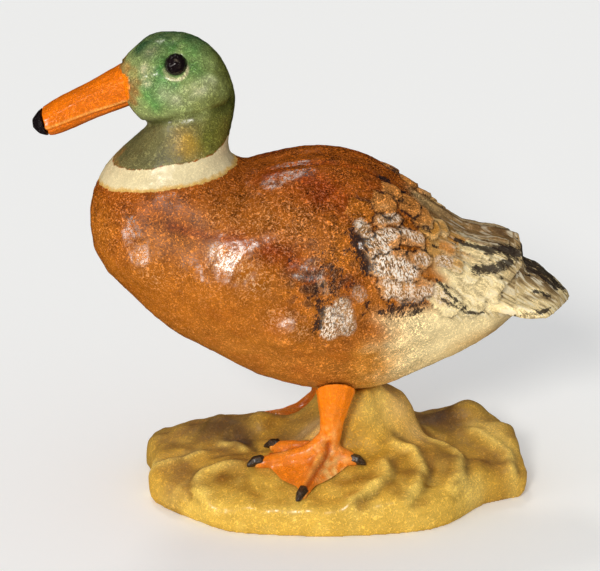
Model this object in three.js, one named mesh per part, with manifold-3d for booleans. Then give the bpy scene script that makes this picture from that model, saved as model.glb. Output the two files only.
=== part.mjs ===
// A painted cast figurine of a mallard drake that stands on a lump of modelled sand.
// Millimetres, +Z up, the bill towards -X, the bird's left side towards -Y.
// The origin is the middle of the base, on its flat underside.
import * as THREE from "three";
import { mergeVertices } from "three/addons/utils/BufferGeometryUtils.js";
import Module from "manifold-3d";

const wasm = await Module();
wasm.setup();

// ---- driving sizes -------------------------------------------------------------------------
const GAP = 0.25; // the thin cut between two neighbouring pieces
const BODY_SIDES = 24; // facets round the trunk and the neck
const BODY_STEPS = 30; // rings along the trunk and the neck
const BODY_SQUARE = 2.1; // 2 is an ellipse, more is a fuller section
const WING_THICK = 1.05; // how far a folded wing stands off the trunk
const WING_THIN = 0.75; // the same at the shoulder, where the wing runs into the breast
const WING_PARTING = 0.7; // half the strip of back left bare between the two wings
const WING_REACH = 20; // how far out from the middle plane the wing's outline is carried
const FAN_SIDES = 36; // points round the tail fan
const TAIL_CUT = { x: 16.2, z: 25 }; // where the tail leaves the trunk
const EYE = { x: -17.5, y: 3.75, z: 51.3, r: 1.25 };
const BASE_RIM = 3.7; // height of the sand at its rim
const BASE_CROWN = 3.0; // how much higher it stands in the middle
const BASE_SIDES = 50; // points round the base
const PROP_HEIGHT = 9.6; // the column of sand under the belly
const SHOULDER_HEIGHT = 4.8; // and the lower lump behind it
const TOE_RADIUS = 0.95;
const TOE_ROOT = 1.25; // radius of a toe where it leaves the ankle
const CLAW_LENGTH = 1.5;
const ANKLE_RISE = 1.9; // height above the sand of the cut between leg and foot
const LEFT = -1;
const RIGHT = 1;

// ---- colours, one per painted finish ---------------------------------------------------------
const paint = (color, roughness) => new THREE.MeshStandardMaterial({ color, roughness, metalness: 0 });
const CHESTNUT = paint(0x9c4a12, 0.35);
const GREEN = paint(0x3f6f45, 0.4);
const CREAM = paint(0xd8c79a, 0.5);
const FEATHER = paint(0xb07a3c, 0.4);
const ORANGE = paint(0xd8700f, 0.35);
const BLACK = paint(0x17141a, 0.3);
const SAND = paint(0xc49a45, 0.5);

// ---- solids --------------------------------------------------------------------------------
function solid(geometry) {
  const bare = geometry.index ? geometry.toNonIndexed() : geometry.clone();
  for (const name of Object.keys(bare.attributes)) if (name !== "position") bare.deleteAttribute(name);
  const merged = mergeVertices(bare, 1e-4);
  return new wasm.Manifold(
    new wasm.Mesh({
      numProp: 3,
      vertProperties: new Float32Array(merged.attributes.position.array),
      triVerts: new Uint32Array(merged.index.array),
    }),
  );
}

function largest(s) {
  return s.decompose().reduce((best, piece) => (piece.volume() > best.volume() ? piece : best));
}

function geometryOf(s) {
  const mesh = largest(s).getMesh();
  const positions = new Float32Array(mesh.numVert * 3);
  for (let i = 0; i < mesh.numVert; i++) {
    positions.set(mesh.vertProperties.subarray(i * mesh.numProp, i * mesh.numProp + 3), i * 3);
  }
  const geometry = new THREE.BufferGeometry();
  geometry.setAttribute("position", new THREE.BufferAttribute(positions, 3));
  geometry.setIndex(new THREE.BufferAttribute(new Uint32Array(mesh.triVerts), 1));
  geometry.computeVertexNormals();
  return geometry;
}

// A closed skin through rings of points that all have the same count; both ends are capped to their middles.
function skin(rings) {
  const sides = rings[0].length;
  const points = rings.flat();
  const middle = (ring) => ring.reduce((sum, p) => sum.add(p), new THREE.Vector3()).divideScalar(sides);
  const first = points.length;
  points.push(middle(rings[0]), middle(rings.at(-1)));
  const faces = [];
  for (let j = 0; j < sides; j++) {
    const k = (j + 1) % sides;
    for (let i = 0; i + 1 < rings.length; i++) {
      const a = i * sides;
      const b = a + sides;
      faces.push(a + j, b + j, a + k, a + k, b + j, b + k);
    }
    const end = (rings.length - 1) * sides;
    faces.push(first, j, k, first + 1, end + k, end + j);
  }
  const geometry = new THREE.BufferGeometry().setFromPoints(points);
  geometry.setIndex(faces);
  const made = solid(geometry);
  if (made.volume() > 0) return made;
  geometry.setIndex(faces.toReversed());
  return solid(geometry);
}

// The ring that spans two points, one on each outline in the middle plane of the bird.
// square is 2 for an ellipse and more for a fuller, boxier section.
function ringBetween(one, other, halfWidth, sides, grow = 0, square = 2) {
  const centre = one.clone().add(other).multiplyScalar(0.5);
  const reach = one.clone().sub(centre);
  const along = reach.clone().normalize().multiplyScalar(reach.length() + grow);
  const across = new THREE.Vector3(0, halfWidth + grow, 0);
  const bend = (value) => Math.sign(value) * Math.abs(value) ** (2 / square);
  return Array.from({ length: sides }, (_, j) => {
    const angle = (2 * Math.PI * j) / sides;
    return centre
      .clone()
      .addScaledVector(along, bend(Math.cos(angle)))
      .addScaledVector(across, bend(Math.sin(angle)));
  });
}

// A smooth run of such rings. A station is [x, z of one outline, x, z of the other, half width].
function outlineLoft(stations, { steps, sides, grow = () => 0, square = 2, ends = 0 }) {
  const curve = (pick) => new THREE.CatmullRomCurve3(stations.map(pick), false, "centripetal");
  const one = curve((s) => new THREE.Vector3(s[0], 0, s[1]));
  const other = curve((s) => new THREE.Vector3(s[2], 0, s[3]));
  const width = curve((s, i) => new THREE.Vector3(s[4], i, 0));
  const at = (t) => [one.getPoint(t), other.getPoint(t), width.getPoint(t).x];
  const rings = [];
  for (let i = 0; i <= steps; i++) {
    const [a, b, w] = at(i / steps);
    rings.push(ringBetween(a, b, w, sides, grow(a.x), square));
  }
  if (ends > 0) {
    // a grown copy also runs past the ends of the first one
    const slide = (ring, from, by) => {
      const way = centreOf(ring).sub(centreOf(from)).normalize().multiplyScalar(by);
      return ring.map((p) => p.clone().add(way));
    };
    rings.unshift(slide(rings[0], rings[1], ends));
    rings.push(slide(rings.at(-1), rings.at(-2), ends));
  }
  return skin(rings);
}

function centreOf(ring) {
  return ring.reduce((sum, p) => sum.add(p), new THREE.Vector3()).divideScalar(ring.length);
}

// A round limb along a few points, each [x, y, z, radius], with rounded ends.
function limb(points, { steps = 10, sides = 12, flat = 1 } = {}) {
  const path = new THREE.CatmullRomCurve3(points.map((p) => new THREE.Vector3(p[0], p[1], p[2])));
  const size = new THREE.CatmullRomCurve3(points.map((p, i) => new THREE.Vector3(p[3], i, 0)));
  const frames = path.computeFrenetFrames(steps, false);
  const rings = [];
  const ring = (i, slide, scale) => {
    const centre = path.getPoint(i / steps).addScaledVector(frames.tangents[i], slide);
    const radius = size.getPoint(i / steps).x * scale;
    const side = new THREE.Vector3().crossVectors(frames.tangents[i], new THREE.Vector3(0, 0, 1));
    if (side.length() < 0.3) side.set(0, 1, 0);
    side.normalize();
    const up = new THREE.Vector3().crossVectors(side, frames.tangents[i]).normalize();
    return Array.from({ length: sides }, (_, j) => {
      const angle = (2 * Math.PI * j) / sides;
      return centre
        .clone()
        .addScaledVector(side, radius * Math.cos(angle))
        .addScaledVector(up, radius * flat * Math.sin(angle));
    });
  };
  const start = size.getPoint(0).x;
  const end = size.getPoint(1).x;
  rings.push(ring(0, -start * 0.85, 0.45));
  for (let i = 0; i <= steps; i++) rings.push(ring(i, 0, 1));
  rings.push(ring(steps, end * 0.85, 0.45));
  return skin(rings);
}

// Everything past a plane through (x, z) that stands across the middle plane. It faces along +X at angle 0
// and upwards at a quarter turn.
function halfSpace(x, z, angle) {
  const size = 200;
  const box = new THREE.BoxGeometry(size, size, size);
  box.translate(size / 2, 0, 0);
  box.rotateY(-angle);
  box.translate(x, 0, z);
  return solid(box);
}

const above = (z) => halfSpace(0, z, Math.PI / 2);
const smooth = (low, high, value) => THREE.MathUtils.smoothstep(value, low, high);
const both = (make) => [make(LEFT), make(RIGHT)];
const mirrored = (s, side) => (side === LEFT ? s : s.mirror([0, 1, 0]));

// ---- trunk and neck, one flowing body --------------------------------------------------------
// The first outline is the back and the nape, the second the belly, the breast and the throat.
// The rings swing round the hollow at the nape, from upright across the trunk to level across the neck.
const BODY = [
  [20.4, 29.2, 20.4, 22.4, 3.8],
  [17.5, 30.1, 17.5, 19.7, 5.8],
  [14.5, 30.5, 14.5, 17.7, 7.4],
  [9.0, 34.0, 9.0, 15.2, 9.5],
  [5.4, 37.2, 5.4, 13.4, 10.5],
  [1.8, 39.0, 1.8, 12.8, 11.0],
  [-3.0, 39.6, -3.6, 13.1, 11.2],
  [-6.8, 38.95, -9.6, 15.0, 11.2],
  [-8.8, 38.6, -13.8, 17.5, 11.0],
  [-10.0, 38.7, -18.3, 19.8, 10.5],
  [-10.9, 39.0, -22.7, 23.8, 9.8],
  [-11.5, 39.4, -26.7, 28.6, 8.9],
  [-12.0, 39.9, -27.4, 33.1, 7.7],
  [-12.2, 40.8, -26.5, 37.1, 6.3],
  [-11.9, 42.2, -24.0, 40.3, 5.3],
  [-11.3, 44.2, -21.2, 42.8, 4.8],
  [-11.0, 47.2, -19.4, 46.2, 4.4],
];
const bodyLoft = (grow, ends = 0) =>
  outlineLoft(BODY, { steps: BODY_STEPS, sides: BODY_SIDES, grow: () => grow, square: BODY_SQUARE, ends });
const body = bodyLoft(0);
const bodyRoom = bodyLoft(GAP, GAP);

// The neck begins at the lower edge of the pale collar.
const COLLAR = { x: -11, z: 39.6, tilt: 0.2 };
const aboveCollar = (by) => halfSpace(COLLAR.x, COLLAR.z + by, Math.PI / 2 + COLLAR.tilt);

// ---- head ------------------------------------------------------------------------------------
const HEAD = [
  [-11.4, 47.9, -11.6, 46.3, 1.3],
  [-11.9, 49.4, -12.3, 45.0, 2.9],
  [-12.9, 51.3, -13.5, 44.2, 4.1],
  [-14.7, 53.0, -15.5, 43.7, 4.9],
  [-17.2, 54.0, -17.6, 43.4, 5.15],
  [-20.0, 53.6, -19.8, 43.6, 4.8],
  [-22.2, 52.3, -21.7, 44.3, 3.9],
  [-23.4, 51.2, -22.4, 45.2, 2.9],
];
const headLoft = (grow) =>
  outlineLoft(HEAD, { steps: 12, sides: 20, grow: () => grow, square: 2.05, ends: grow });

// ---- bill --------------------------------------------------------------------------------------
const BILL = [
  [-21.4, 51.7, -20.2, 46.7, 2.9],
  [-24.2, 50.1, -23.2, 45.7, 2.6],
  [-27.0, 48.6, -26.4, 44.3, 2.2],
  [-29.7, 47.0, -29.3, 43.0, 2.35],
  [-31.5, 45.8, -31.1, 42.4, 2.35],
  [-32.8, 44.8, -32.5, 42.5, 1.7],
  [-33.4, 44.0, -33.3, 43.1, 0.6],
];
const NAIL = { x: -31.9, z: 44.0, tilt: 0.32 };
const MOUTH = { x: -26.7, z: 45.15, slope: 0.38 };

// ---- tail fan ------------------------------------------------------------------------------------
// Seen from above, the fan widens from its root inside the trunk and comes to a blunt point behind.
const FAN_CENTRE = new THREE.Vector2(16, 0);
const FAN_REACH = 9;

function fanOutline() {
  const edge = new THREE.Shape();
  edge.moveTo(9, -5.4);
  edge.quadraticCurveTo(15, -7.4, 20.5, -7.3);
  edge.quadraticCurveTo(22.8, -7.4, 23.4, -6.2);
  edge.quadraticCurveTo(24.4, -4.0, 25.6, -1.1);
  edge.quadraticCurveTo(26.1, 0, 25.6, 1.1);
  edge.quadraticCurveTo(24.4, 4.0, 23.4, 6.2);
  edge.quadraticCurveTo(22.8, 7.4, 20.5, 7.3);
  edge.quadraticCurveTo(15, 7.4, 9, 5.4);
  return edge.getSpacedPoints(FAN_SIDES).slice(0, -1);
}

function tailFan(grow = 0) {
  const outline = fanOutline();
  const level = (share, z) =>
    outline.map((p) => {
      const q = p.clone().sub(FAN_CENTRE).multiplyScalar(share * (1 + grow / FAN_REACH)).add(FAN_CENTRE);
      return new THREE.Vector3(q.x, q.y, z(q.x, Math.abs(q.y)));
    });
  // the coverts make a hump over the root of the fan
  const hump = (x, y) => 2.8 * (1 - smooth(20.8, 25.9, x)) * (1 - smooth(1.0, 6.4, y));
  const vane = (x, y) => 27.3 - (x - 12) * 0.25 - y * 0.08;
  const root = (x, y) => 3.0 * (1 - smooth(12, 21, x)) * (1 - smooth(3, 6, y));
  const thick = (x, y) => 1.0 + 0.4 * (1 - smooth(20, 23, x)) + root(x, y);
  const top = (x, y) => vane(x, y) + hump(x, y) + grow;
  const under = (x, y) => vane(x, y) - thick(x, y) - grow;
  const middle = (x, y) => vane(x, y) - thick(x, y) / 2;
  return skin([
    level(0.4, under),
    level(0.94, under),
    level(1.0, middle),
    level(0.97, top),
    level(0.86, top),
    level(0.7, top),
    level(0.35, top),
  ]);
}

// ---- folded wing, a shell over the trunk ----------------------------------------------------------
function wingOutline() {
  const edge = new THREE.Shape();
  edge.moveTo(-15.5, 30.5);
  edge.quadraticCurveTo(-15.6, 24.8, -9.5, 22.2);
  edge.quadraticCurveTo(-2.0, 19.6, 5.0, 20.8);
  edge.quadraticCurveTo(11.5, 22.2, 15.5, 25.2);
  edge.quadraticCurveTo(18.4, 26.6, 20.1, 28.4);
  edge.quadraticCurveTo(20.5, 30.0, 19.2, 31.6);
  edge.lineTo(14.0, 46.0);
  edge.lineTo(-5.0, 46.0);
  edge.quadraticCurveTo(-6.6, 39.6, -10.2, 37.4);
  edge.quadraticCurveTo(-15.0, 35.4, -15.5, 30.5);
  const options = { depth: WING_REACH, bevelEnabled: false, curveSegments: 10 };
  const prism = new THREE.ExtrudeGeometry(edge, options);
  prism.rotateX(Math.PI / 2);
  prism.translate(0, -WING_PARTING, 0);
  return solid(prism);
}

const wingThickness = (x) => THREE.MathUtils.lerp(WING_THIN, WING_THICK, smooth(-14, 0, x));
const wingCover = (grow) =>
  outlineLoft(BODY, {
    steps: BODY_STEPS,
    sides: BODY_SIDES,
    grow: (x) => wingThickness(x) + grow,
    square: BODY_SQUARE,
    ends: WING_THICK + grow,
  });

// ---- base: an uneven lump of sand with a prop up to the belly ---------------------------------------
// The rim seen from above, round from the tail end.
const RIM = [
  [21.8, -0.8], [21.0, 2.4], [20.9, 5.6], [19.9, 8.9], [17.0, 11.2], [14.2, 11.8],
  [11.8, 12.0], [8.2, 12.6], [2.0, 12.9], [-4.5, 12.5], [-10.4, 11.6], [-14.0, 10.9],
  [-18.2, 9.9], [-21.2, 8.2], [-22.2, 4.6], [-20.8, 1.2], [-21.5, -2.0], [-21.2, -4.8],
  [-18.6, -7.6], [-15.7, -10.1], [-12.8, -12.4], [-7.6, -13.4], [-1.0, -13.8], [5.0, -13.3],
  [9.0, -12.5], [12.0, -11.2], [14.6, -8.4], [17.0, -5.2], [19.2, -4.0], [21.3, -3.3],
];
// Rounded lumps of sand: x, y, height, length, width, turn from the bird's own line.
const LUMPS = [
  [-15.5, 5.6, 1.1, 6.0, 3.0, 0.3],
  [-17.0, -1.0, 1.0, 3.6, 3.0, 0.9],
  [-11.0, 9.4, 0.7, 2.4, 2.0, 0.0],
  [-10.5, -6.5, 1.2, 5.0, 3.4, -0.5],
  [-8.4, 3.0, 1.8, 5.4, 2.2, -0.05],
  [6.0, -9.5, 1.0, 5.0, 2.8, 0.3],
  [9.5, -3.0, 1.2, 6.5, 2.2, -0.5],
  [15.0, 9.8, 2.4, 2.8, 2.6, -0.4],
  [18.6, 4.6, 1.8, 4.4, 2.8, -1.1],
  [9.6, 9.6, 0.8, 2.4, 2.4, 0.0],
  [12.8, 1.4, -0.8, 5.0, 1.6, -0.6],
  [-12.5, 0.0, -0.7, 5.0, 1.6, 0.2],
];

function lump([cx, cy, height, length, width, turn], x, y) {
  const along = (x - cx) * Math.cos(turn) + (y - cy) * Math.sin(turn);
  const across = (y - cy) * Math.cos(turn) - (x - cx) * Math.sin(turn);
  return height * Math.exp(-((along / length) ** 2) - (across / width) ** 2);
}

// The rolling surface, before the prop.
function sandHeight(x, y) {
  const away = Math.hypot(x / 21, y / 13.5);
  const crown = BASE_RIM + BASE_CROWN * (1 - smooth(0.1, 1.0, away));
  return crown + LUMPS.reduce((sum, one) => sum + lump(one, x, y), 0);
}

// The prop stands between the legs, a steep column with a shoulder behind it.
function propHeight(x, y) {
  const front = smooth(-4.4, -2.6, x);
  const back = 1 - smooth(2.4, 5.8, x);
  const sides = 1 - smooth(2.6, 5.4, Math.abs(y - 0.8));
  const shoulder = 1 - smooth(0.6, 1.05, Math.hypot((x - 4.6) / 5.3, (y - 2.0) / 4.4));
  return Math.max(PROP_HEIGHT * front * back * sides, SHOULDER_HEIGHT * shoulder);
}

const ground = (x, y) => sandHeight(x, y) + propHeight(x, y);

function sandBase() {
  const rim = new THREE.CatmullRomCurve3(RIM.map(([x, y]) => new THREE.Vector3(x, y, 0)), true);
  const outline = rim.getSpacedPoints(BASE_SIDES).slice(0, -1);
  const ring = (share, z) =>
    outline.map((p) => {
      const x = p.x * share;
      const y = p.y * share;
      return new THREE.Vector3(x, y, z(x, y));
    });
  const rings = [ring(0.5, () => 0), ring(0.965, () => 0), ring(0.995, () => 1.0)];
  rings.push(ring(1.0, (x, y) => 0.6 * sandHeight(x, y)));
  for (const share of [0.97, 0.91, 0.83, 0.74, 0.65, 0.56, 0.48, 0.4, 0.32, 0.24, 0.16, 0.08]) {
    rings.push(ring(share, ground));
  }
  return skin(rings);
}

// ---- legs and feet -----------------------------------------------------------------------------------
const LEG = {
  [LEFT]: { hip: [0.0, -5.2, 17], ankle: [-1.1, -5.8], heading: 0.16, reach: 1 },
  [RIGHT]: { hip: [-0.6, 5.4, 17], ankle: [-2.2, 6.8], heading: -0.05, reach: 0.82 },
};
// The toes from inner to outer, each an angle from the foot's heading and a length; then the hind toe.
const TOES = [
  { name: "inner", turn: -0.55, length: 6.0 },
  { name: "middle", turn: 0.0, length: 7.4 },
  { name: "outer", turn: 0.95, length: 6.0 },
  { name: "hind", turn: 2.75, length: 2.6 },
];

// Where a toe runs: angle 0 points to the bill, and it opens away from the middle plane for turn > 0.
function toeLine(side, toe) {
  const { ankle, heading, reach } = LEG[side];
  const angle = heading * (side === LEFT ? 1 : -1) + toe.turn;
  const way = new THREE.Vector2(-Math.cos(angle), side * Math.sin(angle));
  const at = (distance) => {
    const x = ankle[0] + way.x * distance * reach;
    const y = ankle[1] + way.y * distance * reach;
    return [x, y, sandHeight(x, y)];
  };
  return at;
}

function toe(side, kind) {
  const at = toeLine(side, kind);
  const lift = kind.name === "hind" ? 0.5 : 0.35;
  const point = (share, radius) => {
    const [x, y, z] = at(kind.length * share);
    return [x, y, z + lift + (1 - share) * 0.5, radius];
  };
  const stations = [
    point(0, TOE_ROOT),
    point(0.35, TOE_RADIUS),
    point(0.7, TOE_RADIUS * 0.95),
    point(1, TOE_RADIUS * 0.8),
  ];
  return limb(stations, { steps: 3, sides: 8 });
}

function claw(side, kind) {
  const at = toeLine(side, kind);
  const point = (distance, lift, radius) => {
    const [x, y, z] = at(kind.length + distance);
    return [x, y, z + lift, radius];
  };
  const stations = [point(0.1, 0.75, 0.62), point(0.9, 0.7, 0.55), point(CLAW_LENGTH, 0.35, 0.32)];
  return limb(stations, { steps: 2, sides: 6 });
}

// The web is a thin sheet from toe to toe that dips between them and ends in a hollow edge.
function web(side, first, second) {
  const lines = [toeLine(side, first), toeLine(side, second)];
  const columns = 4;
  const rows = 4;
  const sheet = (lift) =>
    Array.from({ length: columns + 1 }, (_, i) => {
      const across = i / columns;
      const reach = 0.96 - 0.13 * Math.sin(Math.PI * across);
      return Array.from({ length: rows + 1 }, (_, j) => {
        const along = (j / rows) * reach;
        const [ax, ay] = lines[0](first.length * along);
        const [bx, by] = lines[1](second.length * along);
        const x = THREE.MathUtils.lerp(ax, bx, across);
        const y = THREE.MathUtils.lerp(ay, by, across);
        return new THREE.Vector3(x, y, sandHeight(x, y) + lift(across, along));
      });
    });
  const top = sheet((across, along) => 0.85 + (1 - along) * 0.5 - 0.3 * Math.sin(Math.PI * across));
  const under = sheet(() => -0.5);
  // each ring runs forward along the top and back along the underside
  return skin(top.map((line, i) => [...line, ...under[i].toReversed()]));
}

// The instep runs down from the shank on to the middle toe.
function instep(side) {
  const at = toeLine(side, TOES[1]);
  const point = (distance, lift, radius) => {
    const [x, y, z] = at(distance);
    return [x, y, z + lift, radius];
  };
  return limb([point(0.2, 2.6, 1.05), point(2.2, 1.5, 1.0), point(4.2, 0.8, 0.9)], { steps: 3, sides: 8 });
}

function foot(side) {
  const toes = [instep(side), ...TOES.map((kind) => toe(side, kind))];
  const webs = [0, 1].map((i) => web(side, TOES[i], TOES[i + 1]));
  return [...toes, ...webs].reduce((sum, piece) => sum.add(piece));
}

function shank(side, grow = 0) {
  const { hip, ankle } = LEG[side];
  const sole = sandHeight(ankle[0], ankle[1]);
  const mix = (share) => hip.map((value, i) => THREE.MathUtils.lerp(value, [...ankle, sole][i], share));
  const knee = mix(0.55);
  return limb(
    [
      [...mix(0), 2.7 + grow],
      [...mix(0.28), 2.1 + grow],
      [...knee, 1.35 + grow],
      [...mix(0.8), 1.15 + grow],
      [ankle[0], ankle[1], sole + 0.6, 1.3 + grow],
    ],
    { steps: 8, sides: 12 },
  );
}

// ---- put together --------------------------------------------------------------------------------------
const head = headLoft(0);
const headRoom = headLoft(GAP);
const wholeBody = body.add(tailFan());
const fanRoom = tailFan(GAP);
const sand = sandBase();
const sandRoom = sand.translate([0, 0, GAP]);

const model = new THREE.Group();
function add(name, made, material) {
  const mesh = new THREE.Mesh(geometryOf(made), material);
  mesh.name = name;
  model.add(mesh);
}

const eyes = both((side) => {
  const ball = new THREE.SphereGeometry(EYE.r, 12, 8);
  ball.translate(EYE.x, side * EYE.y, EYE.z);
  const room = new THREE.SphereGeometry(EYE.r + GAP, 12, 8);
  room.translate(EYE.x, side * EYE.y, EYE.z);
  return { side, ball: solid(ball), room: solid(room) };
});

// a wing lies on the trunk, and its tip on the fan
const leftWing = wingCover(0).intersect(wingOutline()).subtract(bodyRoom).subtract(fanRoom);
const wings = both((side) => mirrored(leftWing, side));

const behindTailCut = (by) => halfSpace(TAIL_CUT.x + by, TAIL_CUT.z, 0);
const trunk = wholeBody.subtract(behindTailCut(-GAP / 2)).subtract(aboveCollar(-GAP));
const tail = wholeBody.intersect(behindTailCut(GAP / 2));
const neck = body.intersect(aboveCollar(0)).subtract(headRoom);

const wholeBill = outlineLoft(BILL, { steps: 12, sides: 16, square: 2.5 }).subtract(headRoom);
const tipSide = (by) => halfSpace(NAIL.x + by, NAIL.z, Math.PI + NAIL.tilt);
const belowMouth = (by) => halfSpace(MOUTH.x, MOUTH.z + by, -Math.PI / 2 + MOUTH.slope);
const nail = wholeBill.intersect(tipSide(-GAP));
const mandibles = wholeBill.subtract(tipSide(0));

add("trunk", trunk, CHESTNUT);
add("neck", neck, GREEN);
add("head", eyes.reduce((made, eye) => made.subtract(eye.room), head), GREEN);
for (const eye of eyes) add(eye.side === LEFT ? "left_eye" : "right_eye", eye.ball, BLACK);
add("upper_bill", mandibles.subtract(belowMouth(0)), ORANGE);
add("lower_bill", mandibles.intersect(belowMouth(-GAP)), ORANGE);
add("bill_nail", nail, BLACK);
add("left_wing", wings[0], FEATHER);
add("right_wing", wings[1], FEATHER);
add("tail", tail, CREAM);

// the legs and feet stand on the sand and meet the belly; the sand keeps clear of both
let propped = sand.subtract(bodyRoom);
for (const side of [LEFT, RIGHT]) {
  const name = side === LEFT ? "left" : "right";
  const sole = foot(side);
  const cut = sandHeight(...LEG[side].ankle) + ANKLE_RISE;
  const limbs = shank(side).add(sole).subtract(bodyRoom).subtract(sandRoom);
  add(`${name}_leg`, limbs.intersect(above(cut + GAP / 2)), ORANGE);
  add(`${name}_foot`, limbs.subtract(above(cut - GAP / 2)), ORANGE);
  for (const kind of TOES) {
    const point = claw(side, kind).subtract(sole).subtract(sandRoom);
    add(`${name}_claw_${kind.name}`, point, BLACK);
  }
  propped = propped.subtract(shank(side, GAP));
}
add("base", propped, SAND);

export default model;
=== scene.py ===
# %% [markdown]
# # A hand-painted cast figurine of a mallard drake
# The real object is a small collector's figurine, about 59 mm long. The bird and the sand under
# it were cast, then painted by hand with thin paint and glossy varnish.
# The CAD frame gives the size and place of every part. Here one sculpted skin stands for the
# cast bird, and the bill, eyes, legs, claws and sand are pieces of their own. The camera and the
# lamps come first. Then the order is the maker's own: cast the rough shape, model the relief
# into it, paint it and varnish it. Places are in millimetres, in the frame's own axes.

# %% Load the frame
import math

import bmesh
import bpy
import numpy as np
from mathutils import Matrix, Vector, noise
from mathutils.bvhtree import BVHTree


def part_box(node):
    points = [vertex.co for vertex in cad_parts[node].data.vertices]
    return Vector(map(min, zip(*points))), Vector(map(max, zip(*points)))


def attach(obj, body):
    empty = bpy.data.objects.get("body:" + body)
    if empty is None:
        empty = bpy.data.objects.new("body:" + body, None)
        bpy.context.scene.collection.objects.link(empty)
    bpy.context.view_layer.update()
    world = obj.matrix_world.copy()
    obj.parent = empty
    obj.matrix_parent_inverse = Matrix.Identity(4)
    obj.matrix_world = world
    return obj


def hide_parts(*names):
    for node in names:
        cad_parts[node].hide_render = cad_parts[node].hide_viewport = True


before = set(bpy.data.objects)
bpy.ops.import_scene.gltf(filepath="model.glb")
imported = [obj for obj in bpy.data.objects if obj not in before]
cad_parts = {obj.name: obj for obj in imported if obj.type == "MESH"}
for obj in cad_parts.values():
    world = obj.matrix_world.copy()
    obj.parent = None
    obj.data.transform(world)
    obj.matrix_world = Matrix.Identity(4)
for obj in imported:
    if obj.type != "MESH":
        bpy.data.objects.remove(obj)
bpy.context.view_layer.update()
MM = 0.001  # Blender works in metres, the figurine is measured in millimetres

# %% [markdown]
# ## Camera, floor and light
# A small object is lit and seen from a fair distance with a long lens, so that its near and far
# parts keep their proportions. The camera looks down by 21 degrees. Wide area lamps would lay a
# pale veil over the varnish. So three narrow, slightly warm lamps, in front, at the left and
# above, give the small sharp glints, and a pale room that the varnish doesn't mirror fills in
# the shade.

# %% Camera
ELEVATION = math.radians(21)
DISTANCE, LENS, SENSOR = 330, 178.2, 36
FIGURINE_MIDDLE = Vector((-4, 0, 27))
AIM_LEFT, AIM_BELOW = 0.22, 2.28  # the camera aims this far beside and under the middle
BACK = Vector((0, -math.cos(ELEVATION), math.sin(ELEVATION)))
RIGHT = Vector((1, 0, 0))
UP = BACK.cross(RIGHT)
look_at = FIGURINE_MIDDLE * MM - RIGHT * AIM_LEFT * MM - UP * AIM_BELOW * MM
camera = bpy.data.objects.new("camera", bpy.data.cameras.new("camera"))
bpy.context.scene.collection.objects.link(camera)
camera.location = look_at + BACK * DISTANCE * MM
camera.rotation_euler = BACK.to_track_quat("Z", "Y").to_euler()
camera.data.lens = LENS
camera.data.sensor_width = SENSOR
camera.data.clip_start = 0.01
bpy.context.scene.camera = camera
print("camera is", round((camera.location - look_at).length / MM), "mm from the figurine")


# %% Helpers for shader nodes
def put(tree, kind, sockets=None, **options):
    """Adds a node, sets its options, and links or sets its input sockets."""
    made = tree.nodes.new("ShaderNode" + kind)
    for name, value in options.items():
        setattr(made, name, value)
    for name, value in (sockets or {}).items():
        if isinstance(value, bpy.types.NodeSocket):
            tree.links.new(value, made.inputs[name])
        else:
            made.inputs[name].default_value = value
    return made


def calc(tree, operation, *values):
    return put(tree, "Math", dict(enumerate(values)), operation=operation).outputs[0]


def noisy(tree, place, scale, detail, **more):
    sockets = {"Vector": place, "Scale": scale, "Detail": detail, **more}
    return put(tree, "TexNoise", sockets).outputs["Fac"]


def ramp(tree, value, low, high):
    """Goes smoothly from 0 at low to 1 at high."""
    made = put(tree, "MapRange", {0: value, 1: low, 2: high}, interpolation_type="SMOOTHSTEP")
    return made.outputs[0]


def blend(tree, factor, first, second):
    return put(tree, "Mix", {0: factor, 6: first, 7: second}, data_type="RGBA").outputs[2]


def srgb(red, green, blue):
    """A paint colour as it looks on a colour card, 0 to 255, in the linear values shaders use."""
    card = np.array([red, green, blue]) / 255
    return tuple(np.where(card <= 0.04045, card / 12.92, ((card + 0.055) / 1.055) ** 2.4))


def new_material(name):
    made = bpy.data.materials.new(name)
    made.use_nodes = True
    made.node_tree.nodes.clear()
    return made


# %% Floor
def build(bm, name):
    """Makes an object of a bmesh, at the origin and unturned."""
    mesh = bpy.data.meshes.new(name)
    bm.to_mesh(mesh)
    bm.free()
    made = bpy.data.objects.new(name, mesh)
    bpy.context.scene.collection.objects.link(made)
    return made


HALF_FLOOR = 1.5  # metres
floor_mesh = bmesh.new()
bmesh.ops.create_grid(floor_mesh, x_segments=2, y_segments=2, size=HALF_FLOOR)
floor = build(floor_mesh, "floor")
floor_paint = new_material("pale_floor")
tree = floor_paint.node_tree
floor_shader = put(tree, "BsdfPrincipled", {
    "Base Color": (0.94, 0.96, 0.98, 1), "Roughness": 0.9,
    "Emission Color": (1, 1, 1, 1), "Emission Strength": 0.08,
})
put(tree, "OutputMaterial", {"Surface": floor_shader.outputs[0]})
floor.data.materials.append(floor_paint)
floor.visible_glossy = False  # the varnish mirrors the lamps, not the white floor
print("floor is", 2 * HALF_FLOOR, "m wide")


# %% Lamps and room
WARM_WHITE = (1.0, 0.95, 0.87)
ROOM_BRIGHTNESS = 0.5


def lamp(name, toward, strength, spread):
    """A far lamp: spread is how wide it looks from the figurine, in degrees."""
    light = bpy.data.lights.new(name, "SUN")
    light.energy = strength
    light.color = WARM_WHITE
    light.angle = math.radians(spread)
    made = bpy.data.objects.new(name, light)
    bpy.context.scene.collection.objects.link(made)
    made.rotation_euler = Vector(toward).to_track_quat("Z", "Y").to_euler()


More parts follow.
